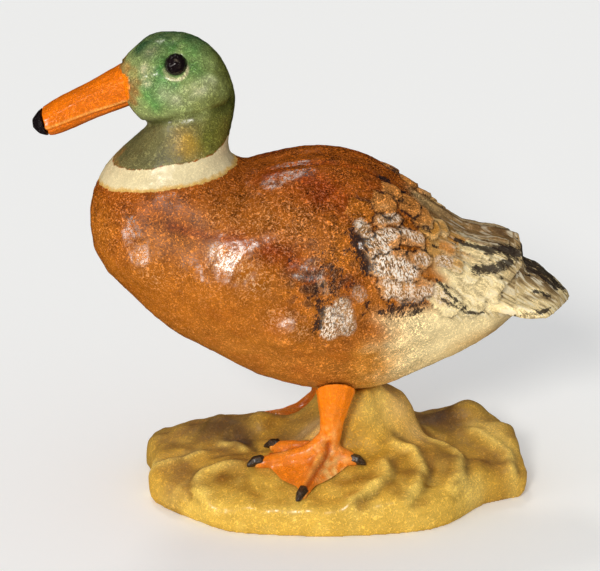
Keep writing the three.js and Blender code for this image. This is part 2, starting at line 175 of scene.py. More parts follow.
lamp("front_lamp", (-0.25, -0.85, 0.46), 1.5, 12)
lamp("left_lamp", (-0.82, -0.6, 0.06), 0.8, 10)
lamp("top_lamp", (-0.2, 0.5, 0.85), 0.36, 12)
room = bpy.data.worlds.new("bright_room")
room.use_nodes = True
room.node_tree.nodes["Background"].inputs["Color"].default_value = (1, 1, 1, 1)
room.node_tree.nodes["Background"].inputs["Strength"].default_value = ROOM_BRIGHTNESS
room.cycles_visibility.glossy = False  # only the lamps show in the varnish
bpy.context.scene.world = room
bpy.context.scene.view_settings.view_transform = "Standard"

# %% [markdown]
# ## The cast skin
# The trunk, neck, head, wings and tail of the real bird are one casting with no seams. It could
# be drawn as one mesh by hand, but the CAD solids already have the right places. So copies of
# them are merged, swollen a little so that the thin cuts between them close, and remeshed as
# one shell of small even faces. Then the shell is shrunk back and rubbed smooth.


# %% Casting helpers
SHARP_CORNER = 1.4  # a sharp corner is swollen by no more than this many times the distance
PULL_IN, LET_OUT = 0.5, -0.515


def loose_copy(*names):
    """CAD solids as one bmesh with their doubled corners merged."""
    bm = bmesh.new()
    for name in names:
        bm.from_mesh(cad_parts[name].data)
    bmesh.ops.remove_doubles(bm, verts=bm.verts, dist=0.001 * MM)
    return bm


def swell(bm, distance):
    bm.normal_update()
    for vert in bm.verts:
        vert.co += vert.normal * min(vert.calc_shell_factor(), SHARP_CORNER) * distance


def smooth(bm, verts, factor=PULL_IN):
    all_ways = {"use_axis_x": True, "use_axis_y": True, "use_axis_z": True}
    bmesh.ops.smooth_vert(bm, verts=verts, factor=factor, **all_ways)


def rub(bm, passes, keep=None):
    """Smooths without shrinking: each pass pulls the corners in, then lets them out again."""
    before = [vert.co.copy() for vert in bm.verts]
    for _ in range(passes):
        smooth(bm, bm.verts)
        smooth(bm, bm.verts, LET_OUT)
    if keep:
        for vert, old in zip(bm.verts, before):
            vert.co = vert.co.lerp(old, keep(old / MM))


def melt(bm, passes, where):
    """Smooths right through, in nested zones, until edges under the zone are gone."""
    for share in (0.25, 0.5, 0.75):
        soft = [vert for vert in bm.verts if where(vert.co / MM) > share]
        for _ in range(passes // 3):
            smooth(bm, soft)


def cast(names, name, grain, closing, passes, keep=None, soft=None, melting=120, more=()):
    """One even shell round some CAD solids. grain is the size of its faces and closing how far
    it swells, in mm. passes of rubbing spare what keep says, and melting works where soft says."""
    bm = loose_copy(*names)
    swell(bm, closing * MM)
    for added in more:
        bm.from_mesh(added)
    shell = build(bm, name)
    remesh = shell.modifiers.new("even_faces", "REMESH")
    remesh.mode = "VOXEL"
    remesh.voxel_size = grain * MM
    depsgraph = bpy.context.evaluated_depsgraph_get()
    mesh = bpy.data.meshes.new_from_object(shell.evaluated_get(depsgraph))
    bpy.data.objects.remove(shell)
    bm = bmesh.new()
    bm.from_mesh(mesh)
    swell(bm, -closing * MM)
    rub(bm, passes, keep)
    if soft:
        melt(bm, melting, soft)
    piece = build(bm, name)
    piece.data.shade_smooth()
    print(name, "has", len(piece.data.vertices), "corners")
    return piece


# %% Cast the bird
def ease(low, high, x):
    """Goes smoothly from 0 at low to 1 at high."""
    t = np.clip((np.asarray(x, float) - low) / (high - low), 0, 1)
    return t * t * (3 - 2 * t)


def peak(value, middle, width):
    """1 where a value is in the middle, fading to nothing on both sides of it."""
    return np.exp(-(((value - middle) / width) ** 2))


def thin_edges(at):
    """The tail and the wing tips keep most of their shape when rubbed."""
    return float(0.75 * ease(14, 18, at.x))


def fleshy(at):
    """Breast, belly, shoulders and neck, where no edge of a wing or collar may show."""
    front = ease(9, 5, at.x) * ease(-20.5, -18, at.x)
    rear_flank = ease(17.2, 15.6, at.x) * ease(27.5, 25.5, at.z)
    return float(max(front, rear_flank))


skin = cast(
    ["trunk", "neck", "head", "left_wing", "right_wing", "tail"], "drake_skin",
    grain=0.25, closing=0.16, passes=45, keep=thin_edges, soft=fleshy,
)


# %% [markdown]
# ## Relief
# The modeller of the real figurine pressed soft muscles and shingled feathers into the wax. In
# Blender this could be sculpted with brushes. Here every push is a short line of code, so that
# it can be read and changed: each corner of the skin is moved along its own normal by a height
# that named bulges, grooves and feathers add up to. Both sides get the same relief, because a
# corner is looked up by its distance from the middle plane.


# %% A surface that can be pressed and painted
class Surface:
    """A piece's corners in millimetres, with a height to press and masks to paint by."""

    def __init__(self, piece, both_sides_alike=True):
        self.piece, self.both = piece, both_sides_alike
        self.height = np.zeros(len(piece.data.vertices))
        self.look()

    def look(self):
        """Reads the corners and normals, with both sides of the bird folded onto one."""
        mesh = self.piece.data
        at = np.empty(len(mesh.vertices) * 3, np.float32)
        mesh.vertices.foreach_get("co", at)
        facing = np.empty_like(at)
        mesh.vertex_normals.foreach_get("vector", facing)
        self.at = at.reshape(-1, 3).astype(float) / MM
        self.facing = facing.reshape(-1, 3).astype(float)
        fold = np.ones_like(self.at)
        fold[:, 1] = np.where((self.at[:, 1] < 0) & self.both, -1, 1)
        self.spot = self.at * fold
        self.out = self.facing * fold

    def move(self, by):
        """Moves every corner by its own step in millimetres."""
        moved = (self.at + by) * MM
        self.piece.data.vertices.foreach_set("co", moved.astype(np.float32).ravel())
        self.piece.data.update()

    def press(self):
        """Moves the corners by the height gathered so far, then reads them again."""
        self.move(self.facing * self.height[:, None])
        print(self.piece.name, "relief from", self.height.min().round(2), "to", self.height.max().round(2))
        self.height[:] = 0
        self.look()

    def near(self, point, reach, stretch=(1, 1, 1)):
        """1 at a point, fading to nothing round it."""
        away = (self.spot - point) / (reach * np.array(stretch))
        return np.exp(-(away**2).sum(1))

    def along(self, points, width):
        """1 on a line through some points, fading beside it. Points with no height lie in plan."""
        spot = self.spot[:, :len(points[0])]
        least = np.full(len(spot), 1e9)
        for start, end in zip(points[:-1], points[1:]):
            start, step = np.array(start, float), np.subtract(end, start)
            share = np.clip((spot - start) @ step / (step @ step), 0, 1)
            least = np.minimum(least, ((spot - start - share[:, None] * step) ** 2).sum(1))
        return np.exp(-least / width**2)

    def strongest(self, rows, unevenness=1):
        """The strongest of some lines at each corner. A row is points, width and strength."""
        mask = np.zeros(len(self.spot))
        for points, width, strength in rows:
            mask = np.maximum(mask, strength * self.along(points, width) * unevenness)
        return mask

    def hollow(self, rounds):
        """How far each corner lies below its smoothed surroundings, in millimetres."""
        mesh = self.piece.data
        ends = np.empty(len(mesh.edges) * 2, np.int32)
        mesh.edges.foreach_get("vertices", ends)
        one, other = ends.reshape(-1, 2).T
        both, back = np.append(one, other), np.append(other, one)
        count = np.bincount(both)
        soft = self.at
        for _ in range(rounds):
            soft = np.column_stack([np.bincount(both, soft[back, axis]) / count for axis in range(3)])
        return ((soft - self.at) * self.facing).sum(1)

    def cloud(self, size, seed):
        """Soft random hills about this many millimetres across, from -1 to 1."""
        shift = Vector((seed * 7.1, seed * 3.7, seed * 5.3))
        return np.array([noise.noise(Vector(p) / size + shift) for p in self.at])

    def keep(self, name, values, kind="FLOAT", field="value"):
        """Stores a value per corner, for the materials to read."""
        made = self.piece.data.attributes.new(name, kind, "POINT")
        made.data.foreach_set(field, np.asarray(values, np.float32).ravel())

    def keep_paint(self, paint):
        opaque = np.column_stack([paint, np.ones(len(paint))])
        self.keep("paint", opaque, "FLOAT_COLOR", "color")


# %% Draw the face down onto the bill
FACE_FRONT, FACE_FULL = -20.6, -23.0  # the pull grows between these places along the bird
FACE_LOW, FACE_HIGH = 44.5, 46  # and between these heights
bill_root = BVHTree.FromBMesh(loose_copy("upper_bill", "lower_bill"))
bm = bmesh.new()
bm.from_mesh(skin.data)
face = [vert for vert in bm.verts if vert.co.x < FACE_FRONT * MM and vert.co.z > FACE_LOW * MM]
for vert in face:
    spot, facing, _, _ = bill_root.find_nearest(vert.co)
    if (vert.co - spot).dot(facing) > 0:
        forward = ease(FACE_FRONT, FACE_FULL, vert.co.x / MM)
        pull = float(forward * ease(FACE_LOW, FACE_HIGH, vert.co.z / MM))
        vert.co = vert.co.lerp(spot + facing * 0.05 * MM, pull)
for _ in range(6):
    smooth(bm, face)
bm.to_mesh(skin.data)
bm.free()
print(len(face), "corners of the face drawn towards the bill")

# %% Muscles
bird = Surface(skin)
BULGES = {  # middle of the bulge, its reach and its height
    "wing shoulder": ((-11.5, 11.6, 30.4), 2.6, 0.5),
    "breast": ((-20.6, 8.8, 28.8), 2.2, 0.4),
    "upper back": ((-6.9, 8, 36.4), 1.8, 0.2),
    "back by the neck": ((-7, 5.6, 38.3), 1.2, 0.16),
    "behind the shoulder": ((-4.4, 8.9, 36), 1.3, 0.16),
    "front of the flank": ((-5.4, 12.2, 23.8), 1.3, 0.5),
    "under the wing": ((-2.2, 11.8, 29), 1.4, 0.25),
    "flank": ((0.2, 12.4, 24.6), 2, 0.5),
    "lower wing": ((7, 10.8, 28.6), 3.2, 0.25),
    "cheek": ((-16.6, 5, 49), 2.2, 0.22),
    "lore": ((-20.6, 3.9, 50.4), 0.9, 0.14),
}
for middle, reach, height in BULGES.values():
    bird.height += height * bird.near(middle, reach)
print(len(BULGES), "bulges a side")

# %% Valleys and creases
VALLEYS = {  # a line of points, its width and its depth
    "over the shoulder": ([(-18, 8.4, 34.6), (-14, 10.1, 34.2), (-10.6, 10.4, 33.7), (-6.5, 11, 32.5),
        (-3, 11.5, 30.6)], 1.3, 0.1),
    "beside the spine": ([(-9.5, 2.6, 39.2), (-5.8, 3, 39.8), (-3, 3.1, 40.1), (0, 2.9, 40),
        (3.4, 2.6, 39), (6, 2.6, 37.3), (9, 2.4, 34.8)], 0.55, 0.22),
    "behind the flank": ([(2.2, 11.3, 31.5), (3.4, 11.4, 29.5), (3.6, 12, 26.5), (3, 12, 24)], 0.8, 0.3),
    "before the flank": ([(-2.6, 12.2, 28), (-2.4, 12.3, 25.5), (-2, 12, 23.4)], 0.7, 0.25),
    "under the head": ([(-20.6, 1.4, 43.9), (-19, 3.6, 44.9), (-17.1, 4.6, 45.5), (-13.7, 4.4, 46.2),
        (-11.4, 1.6, 46.6)], 0.5, 0.3),
    "edge of the collar": ([(-26.6, 0, 36.6), (-25.4, 3.4, 37.1), (-21.5, 6.4, 37.9), (-14.5, 5.5, 39),
        (-11, 0, 39.5)], 0.4, 0.1),
}
for points, width, depth in VALLEYS.values():
    bird.height -= depth * bird.along(points, width)
bird.press()

# %% Flats that catch the lamps
# Varnish glints where a surface faces halfway between a lamp and the camera.
FRONT_GLINT, LEFT_GLINT, TOP_GLINT = (-0.13, 0.905, 0.41), (-0.45, 0.86, 0.24), (-0.12, 0.28, 0.95)
FLATS = [  # middle, the way it faces, reach, share of the bulge that is pressed away
    ((-11.6, 11.6, 31.2), FRONT_GLINT, 3.2, 0.8), ((-9, 12, 29.8), FRONT_GLINT, 1.6, 0.6),
    ((-21.4, 8.8, 31), LEFT_GLINT, 2, 0.7), ((-7.2, 5.4, 38.4), TOP_GLINT, 1, 0.6),
    ((-5.8, 12.3, 24.8), FRONT_GLINT, 1.8, 0.8), ((0.4, 12.4, 25.6), (-0.1, 0.93, 0.36), 1.3, 0.6),
    ((-6.6, 11, 32.3), (0.05, 0.98, 0.12), 2.2, 0.75),
]
for _ in range(2):
    for middle, faces, reach, share in FLATS:
        faces = np.array(faces) / np.linalg.norm(faces)
        off = (bird.spot - middle) @ faces
        bird.height -= share * off * bird.near(middle, reach) / np.maximum(bird.out @ faces, 0.5)
    bird.press()

# %% Eye sockets and the uneven casting
EYE_AT = (-17.5, 4.8, 51.4)
EYE_RIM = 1.5


def from_eye():
    return np.sqrt(((bird.spot - EYE_AT) ** 2).sum(1))


bird.height += 0.13 * peak(from_eye(), EYE_RIM, 0.3)
body = 1 - ease(35, 41, bird.spot[:, 2])
bird.height += 0.06 * bird.cloud(1.6, 1) * body + 0.03 * bird.cloud(0.8, 2)
bird.height += 0.06 * np.abs(bird.cloud(0.62, 4))
bird.press()

# %% [markdown]
# ## Feathers
# Folded wing feathers lie like roof shingles: each rises slowly towards its rounded tip and
# ends in a small step over the feather behind it. They could be separate blades, but on a cast
# figurine they are one surface. So the functions below raise a tongue or a pad and remember,
# for the painter, how far each corner is from the feather's edge and how its barbs run.

# %% What the painter will need to know
DOWN_THE_WING = np.array([0.86, -0.12, -0.48])
OPEN_SKIN = 9.0
rim = np.full(len(bird.spot), OPEN_SKIN)  # distance inside the edge of the top feather
shadow = np.zeros(len(bird.spot))  # painted shadow: dark paint in the step behind an edge
comb = np.zeros((len(bird.spot), 3))  # place across and along the barbs, for fine strands
tone = {}  # which paint covers which corners
fleck = bird.cloud(0.9, 6)  # small random patches
print("flecks from", fleck.min().round(2), "to", fleck.max().round(2))


# %% Feather helpers
def laid(close, edge, top, across_barbs, along_barbs, pot):
    """Raises one feather over what lies there and notes its edge, barbs and paint."""
    bird.height[close] *= 1 - 0.6 * ease(0, 0.3, edge) * (top > 0)
    bird.height[close] += top * ease(-0.08, 0.18, edge)
    inside, behind = (edge > 0) & (top > 0.03), (edge > -0.8) & (edge <= 0) & (top > 0.08)
    rim[close[inside]] = edge[inside]
    comb[close[inside], 0] = across_barbs[inside]
    comb[close[inside], 1] = along_barbs[inside]
    comb[close[inside], 2] = len(tone)
    shadow[close[inside]] = 0
    shadow[close[behind]] = np.maximum(shadow[close[behind]], peak(edge[behind], 0, 0.28))
    mask = tone.setdefault(pot, np.zeros(len(bird.spot)))
    for other in tone.values():
        other[close[inside]] = 0
    mask[close[inside]] = 1


def feather(tip, width, length, lift, turn, pot, broad=1):
    """A tongue that rises to a rounded tip. width is half its breadth, tip the tip's middle."""
    away = bird.spot - tip
    close = np.flatnonzero((away**2).sum(1) < (length + width * broad + 1) ** 2)
    out = bird.out[close[np.argmin((away[close] ** 2).sum(1))]]
    run = DOWN_THE_WING - out * (DOWN_THE_WING @ out)
    run /= np.linalg.norm(run)
    beside = np.cross(out, run)
    turn = math.radians(turn)
    run, beside = (run * math.cos(turn) + beside * math.sin(turn),
                   beside * math.cos(turn) - run * math.sin(turn))
    away = away[close]
    a, b = away @ run, away @ beside / broad
    b += 0.08 * width * np.sin(a * 4.1 + tip[0] * 3)
    on_it = (bird.out[close] @ out > 0.2) & (np.abs(away @ out) < 1.5 * width + 0.8) & (a > -length)
    edge = width * (1 + 0.15 * np.clip(a / length, -1, 0)) - np.hypot(np.maximum(a, 0), b)
    edge = np.where(on_it, edge + 0.06 * width * np.sin(b * 7.3 + tip[2]), -OPEN_SKIN)
    laid(close, edge, lift * ease(-length, 0.3 * width, a), b, a, pot)


def pad(start, end, width, lift, pot="buff"):
    """A barred covert: a long rounded pad that is highest along its lower edge."""
    start, run = np.array(start, float), np.subtract(end, start)
    span = np.linalg.norm(run)
    run /= span
    away = bird.spot - start
    close = np.flatnonzero((away**2).sum(1) < (span + 2 * width) ** 2)
    away = away[close]
    a = away @ run
    off = away - np.clip(a, 0, span)[:, None] * run
    wave = 0.1 * width * np.sin(a * 3.7 + start[2] * 2) + 0.3 * fleck[close]
    outward = bird.out[close] @ [0.2, 0.8, 0.5] > 0
    edge = np.where(outward, width + wave - np.linalg.norm(off, axis=1), -OPEN_SKIN)
    low = np.clip(-off[:, 2] / width, -1, 1)
    laid(close, edge, lift * (0.62 + 0.38 * low), a + 0.25 * off[:, 2], off[:, 2], pot)


# %% Lay the feathers, from the tail forwards
FEATHERS = [  # tip, half breadth, length, lift, turn, paint
    # long feathers of the wing tip
    ((18.8, 4.5, 29.2), 0.6, 7, 0.2, 6, "cream"), ((18.9, 3.3, 30.2), 0.5, 8, 0.22, 4, "dark"),
    ((18.4, 2.3, 30.7), 0.45, 8, 0.2, 2, "umber"), ((17.6, 5.3, 28.8), 0.55, 5.5, 0.2, 8, "cream"),
    ((16.2, 5, 29.9), 0.45, 4.5, 0.18, 2, "cream"),
    # lower rear coverts
    ((16.8, 6.5, 26.6), 1.4, 5, 0.12, 10, "cream"), ((14.8, 7.8, 25), 1.3, 5, 0.12, 14, "cream"),
    ((14.2, 7, 28.3), 1, 4, 0.12, 6, "cream"), ((12, 9, 25.8), 1.4, 4.2, 0.16, 14, "cream"),
    ((12.6, 6.9, 29.5), 0.9, 3.5, 0.16, 4, "straw"), ((12.6, 5.6, 30.7), 0.7, 3.5, 0.2, 0, "straw"),
]
PADS = [  # start, end, half breadth, lift
    ((5.3, 11.4, 28.9), (9, 10.3, 28.3), 1.25, 0.22), ((4.8, 10.7, 31.2), (7.6, 9.8, 30.6), 1.6, 0.3),
    ((8.3, 9.2, 31.3), (9.2, 8.8, 30.9), 1, 0.24), ((6.6, 8.4, 33.4), (8.7, 7.4, 32.9), 1, 0.26),
    ((3.4, 10.3, 33.1), (5.6, 9, 33.6), 1.2, 0.3), ((4.4, 8.3, 35.3), (6.3, 7.1, 35.1), 0.8, 0.22),
    ((2.4, 9.4, 35), (2.9, 9.5, 34.4), 0.8, 0.2),
]
SCALLOPS = [  # tip, half breadth, length, lift, turn, paint, how much broader than long
    ((11.9, 6, 30.9), 0.75, 1.8, 0.26, 0, "leaf", 1.2), ((11.3, 3.8, 32.6), 0.8, 2, 0.22, -4, "straw", 1.6),
    ((10.2, 5, 33), 0.9, 2.2, 0.32, -4, "honey", 1.5), ((9.3, 4.3, 34), 1, 2.2, 0.42, -4, "leaf", 1.7),
    ((7.9, 3.9, 35.3), 1, 2.2, 0.44, -6, "leaf", 1.7), ((6, 4, 36.8), 0.85, 2, 0.36, -6, "leaf", 1.6),
    ((5.2, 6.3, 36.1), 1.05, 2.4, 0.4, 0, "leaf", 1.4), ((2.6, 8, 36), 1.1, 2.6, 0.22, 2, "amber", 1.2),
]
for lay, rows in ((feather, FEATHERS), (pad, PADS), (feather, SCALLOPS)):
    for row in rows:
        lay(*row)
bird.press()
print(len(FEATHERS) + len(PADS) + len(SCALLOPS), "feathers a side")

# %% [markdown]
# ## Hand paint
# The real bird wears thin stains, dabbed on wet with a small brush: amber on the breast,
# russet in the hollows, cream towards the tail, emerald on the head. An image texture could
# hold them, but it has a fixed sharpness. Here each dab is a soft ball of colour on the
# skin's corners, and the materials add the fine grain and the crisp edges afterwards.

# %% Paint pots
POTS = {
    "amber": srgb(180, 103, 22), "gold": srgb(182, 112, 40), "chestnut": srgb(158, 80, 12),
    "russet": srgb(140, 56, 2), "umber": srgb(120, 84, 48), "dusty": srgb(172, 98, 28),
    "cream": srgb(250, 226, 168), "peach": srgb(230, 186, 116), "buff": srgb(210, 148, 88),
    "straw": srgb(204, 152, 80), "dark": srgb(58, 42, 30), "honey": srgb(212, 146, 58),
    "emerald": srgb(84, 136, 66), "teal": srgb(52, 84, 50), "olive": srgb(148, 160, 98),
    "moss": srgb(112, 114, 46), "nape and crease shade": srgb(70, 72, 24), "lichen": srgb(112, 108, 66),
    "stone": srgb(100, 112, 78), "ochre": srgb(174, 138, 48), "feather edge": srgb(148, 116, 62),
    "tail": srgb(172, 142, 94), "bark": srgb(110, 86, 56), "leaf": srgb(200, 132, 62),
    "eye rim": srgb(214, 204, 158), "sage": srgb(184, 188, 146), "face orange": srgb(244, 126, 2),
}


def dab(paint, pot, mask):
    """Mixes a pot of paint into the colours where the mask is 1."""
    mask = np.clip(mask, 0, 1)[:, None]
    paint += (np.array(POTS[pot]) - paint) * mask


def dabs(surface, paint, rows, unevenness):
    """Round dabs. A row is pot, place, reach and strength."""
    for pot, place, reach, strength in rows:
        dab(paint, pot, surface.near(place, reach) * strength * unevenness)


print(len(POTS), "pots of paint")

# %% Wash the body
x, side, z = bird.spot.T
paint = np.tile(POTS["amber"], (len(x), 1))
drift = bird.cloud(2.4, 5)
ragged_x = x + 1.6 * drift + 0.8 * fleck  # a place along the bird, with ragged borders
dab(paint, "gold", ease(26, 18, z + 2 * drift) * 0.7)
dab(paint, "chestnut", ease(32.5, 37, z + 1.5 * drift) * 0.9)
dab(paint, "chestnut", ease(0.0, 0.5, bird.cloud(3.4, 21)) * 0.4)
dab(paint, "honey", ease(0, 5, ragged_x) * ease(24.5, 20, z) * 0.8)
dab(paint, "cream", ease(2.6, 9.4, ragged_x) * ease(27, 24.6, z))
dab(paint, "cream", ease(9, 12, ragged_x) * ease(32, 29, z))
dab(paint, "peach", ease(11, 16, ragged_x) * ease(22.5, 20, z) * 0.8)
dab(paint, "straw", ease(8.6, 10.5, ragged_x) * ease(29.5, 31.5, z))
dab(paint, "tail", ease(15.5, 17.5, x) * ease(7.5, 4.5, side) * 0.5)
print("washed", len(x), "corners")

# %% Dab the body
DABS = [  # pot, place, reach, strength
    ("dusty", (-9, 9.5, 35.2), 3.4, 0.8), ("dusty", (-4, 9.8, 34.6), 3, 0.8),
    ("dusty", (-14, 8.2, 35.6), 2.6, 0.6), ("dusty", (-17.5, 8.6, 32), 2.2, 0.5),
    ("russet", (-7.4, 3.9, 39.1), 2, 1), ("russet", (-3.6, 6, 38.9), 1.9, 0.9),
    ("russet", (-1.6, 7.2, 37.9), 2, 1), ("russet", (0.4, 7.8, 37), 1.3, 0.7),
    ("russet", (-10.8, 10.4, 33.5), 1.3, 0.7), ("russet", (-7.6, 10.9, 32.7), 1.6, 1),
    ("russet", (-5, 11.2, 31.8), 1.7, 0.9), ("russet", (-22.6, 6.4, 33.6), 1.6, 0.45),
    ("russet", (1.2, 11.6, 29), 1.8, 0.6), ("russet", (-2.5, 11.6, 29.8), 1.6, 0.7),
    ("russet", (5.5, 3.2, 37.6), 1.1, 0.8), ("russet", (3.4, 5, 37.9), 1.2, 0.4),
    ("amber", (-1.5, 12, 25), 2, 0.5), ("umber", (9.8, 2.2, 34.2), 1, 0.5),
]
dabs(bird, paint, DABS, 1 + 0.6 * drift + 0.5 * fleck)
dab(paint, "dark", bird.near((0.1, 12.3, 25.4), 1.7, (0.9, 1, 1.2)) * 0.75)
mottle = ease(0.02, 0.3, bird.cloud(0.8, 31) + 0.5 * drift)
dab(paint, "dark", mottle * 0.85 * bird.near((-1.8, 11.6, 28.6), 4.2, (1, 1, 0.9)))
dab(paint, "dark", mottle * 0.6 * bird.near((2.2, 10.2, 33.2), 2.6))
dab(paint, "dark", mottle * 0.5 * bird.along([(-8, 2.4, 39.6), (0, 2.6, 40.2), (6, 2.4, 37.6)], 0.8))
print(len(DABS), "dabs on the body")

# %% Brush strokes
STROKES = [  # pot, points, width, strength
    ("russet", [(-18, 8.4, 34.6), (-14, 10.1, 34.1), (-10.6, 10.4, 33.5), (-6.5, 11, 32.4)], 0.7, 0.7),
    ("russet", [(-9.5, 2.6, 39.2), (-5.8, 2.8, 39.9), (0, 2.8, 40.1), (4.9, 2.6, 38.2)], 0.5, 0.75),
    ("chestnut", [(-9, 0, 38.9), (-3, 0, 39.7), (3, 0, 39.6), (8, 0, 36.5)], 2, 0.9),
    ("tail", [(9, 0.8, 35), (13, 1.2, 32), (18, 1.6, 31)], 1.6, 1),
    ("tail", [(18, 2, 29), (24, 2, 25)], 2.2, 0.7),
    ("cream", [(19, 6.4, 25.6), (23.5, 5.6, 24.2)], 1.1, 0.9),
    ("bark", [(18.6, 4.6, 27.6), (20.6, 3.4, 27.2), (24, 2.4, 25.2)], 0.8, 0.9),
    ("cream", [(19.4, 4.9, 26.4), (22.4, 3.9, 25.4)], 0.3, 0.8),
    ("bark", [(20.6, 5.2, 25.4), (23.6, 4.2, 24.6)], 0.35, 0.7),
    ("cream", [(24.4, 1.6, 24.6), (25.6, 0.8, 24.4)], 0.7, 1),
    ("umber", [(9.6, 2.4, 34.8), (14, 1.4, 32), (19, 0.6, 30.6)], 0.9, 0.85),
    ("bark", [(11, 3.4, 32.8), (15, 2.2, 31.6), (18.6, 1.8, 30.8)], 0.5, 0.8),
    ("bark", [(12, 0.4, 33), (19, 0.2, 30.4)], 0.8, 0.7),
    ("gold", [(12.4, 4.5, 31.8), (15.3, 3.2, 31.2), (18, 2.8, 30.8)], 0.35, 0.9),
    ("cream", [(4.5, 7.4, 36.6), (5.1, 6.9, 36.3)], 0.3, 0.9),
]
for pot, points, width, strength in STROKES:
    dab(paint, pot, bird.along(points, width) * strength * (1 + 0.5 * fleck))
print(len(STROKES), "strokes a side")

# %% Paint the feathers
for pot, mask in tone.items():
    dab(paint, pot, mask * 0.85)
dab(paint, "cream", ease(0.42, 0.1, rim) * (rim < 5) * 0.3 * ease(8, 11, x))
# Painted shadow: dark paint in the step behind each feather's edge.
dab(paint, "dark", shadow * (0.68 - 0.24 * ease(9, 12, x)) * ease(-1, 3, x))
print("feather paints:", sorted(tone))


# %% Where the bill's orange ends on the face
def orange_inside(x, z):
    """Millimetres inside the orange, seen from the side: a slanted edge that turns back below."""
    upper = -((x + 23.8) * 0.28 + (z - 50.0) * 0.96)
    lower = -22.65 - 0.3 * np.maximum(47.5 - z, 0) - x
    return np.minimum(upper, lower)


# %% Greens of the head and neck
NECK_END = -9  # everything of the head, neck and collar lies in front of this
ring_low = z - (36.95 + 0.14 * (x + 27)) + 0.1 * drift  # height over the collar's lower edge
ring_high = (39.35 + 0.16 * (x + 25) + 1.3 * ease(-14, -11.4, x)) - z + 0.25 * drift
neck = (ring_high < 0) & (x < NECK_END)
green = np.tile(POTS["lichen"], (len(x), 1))
dab(green, "olive", ease(44.2, 46.4, z - 0.12 * (x + 17)))
dab(green, "moss", ease(-15.5, -13, x + drift) * 0.85)
# Among these, the sage dab and the olive dabs on the cheek and the lore are painted highlights; the rest are
# the head's own greens.
HEAD_DABS = [
    ("emerald", (-18.6, 4.4, 50.2), 2.4, 1), ("emerald", (-20, 4, 48.8), 1.6, 0.9),
    ("emerald", (-17, 2.5, 53), 2.6, 0.8), ("emerald", (-15, 3.5, 51.5), 2, 0.6),
    ("emerald", (-19.6, 4.4, 47), 1.2, 0.6), ("teal", (-20.9, 1.2, 52.8), 1.6, 1),
    ("teal", (-18.4, 0, 54), 2.4, 0.9), ("teal", (-14.6, 0, 53.4), 2.2, 0.6),
    ("olive", (-20.9, 3.7, 51), 0.7, 0.9), ("stone", (-20.4, 3, 52.6), 1.1, 0.9),
    ("sage", (-18.6, 4.7, 48.5), 1.1, 0.45), ("olive", (-15.4, 4.9, 48.6), 1.2, 0.9),
    ("nape and crease shade", (-11.6, 1.6, 46.4), 1.8, 0.9), ("nape and crease shade", (-13, 3.4, 46), 1.1, 0.7),
    ("nape and crease shade", (-12.2, 1, 50), 1.8, 0.4), ("moss", (-15.2, 4.8, 47), 1.1, 0.6),
    ("nape and crease shade", (-11.8, 1.5, 43.8), 1.4, 0.7), ("olive", (-13.6, 3, 51.3), 1.3, 0.6),
    ("olive", (-12.9, 3, 48.4), 1.2, 0.5), ("ochre", (-16.4, 4.9, 42.7), 1.5, 1),
    ("moss", (-13.8, 4.2, 43.6), 1.6, 0.8),
]
dabs(bird, green, HEAD_DABS, 1 + 0.7 * drift + 0.6 * fleck)
cheek = [(-17.4, 4.9, 47.8), (-15.2, 4.8, 48.8), (-13.6, 4.2, 49.4)]
# Painted shade: dark olive along the crease under the head.
dab(green, "nape and crease shade", bird.along(VALLEYS["under the head"][0], 0.4) * 0.85)
# Painted highlights: pale sage along the cheek and the lore, where the varnish glints.
dab(green, "sage", bird.along(cheek, 0.8) * (0.75 + fleck))
dab(green, "sage", bird.along([(-20.9, 3.9, 50.8), (-20.5, 4.2, 49.6)], 0.6) * (0.8 + fleck))
print(neck.sum(), "corners of head and neck")

# %% Edge of the bill and rim of the eye
on_bill = orange_inside(x, z) + 0.12 * fleck
dab(green, "feather edge", ease(-1.5, -0.7, on_bill + 0.5 * fleck) * (0.85 + 0.6 * fleck))
dab(green, "face orange", ease(-0.08, 0.08, on_bill))
# Painted highlight: pale paint on the lower and rear side of the raised eye rim, where it glints.
below_eye = (x - EYE_AT[0]) * 0.75 - (z - EYE_AT[2]) * 0.65
rim_of_eye = peak(from_eye(), 1.45, 0.16) * ease(-0.7, 0.2, below_eye + 0.8 * fleck)
dab(green, "eye rim", rim_of_eye)
paint[neck] = green[neck]
bird.keep_paint(paint)
print((on_bill > 0).sum(), "corners of the face are orange")

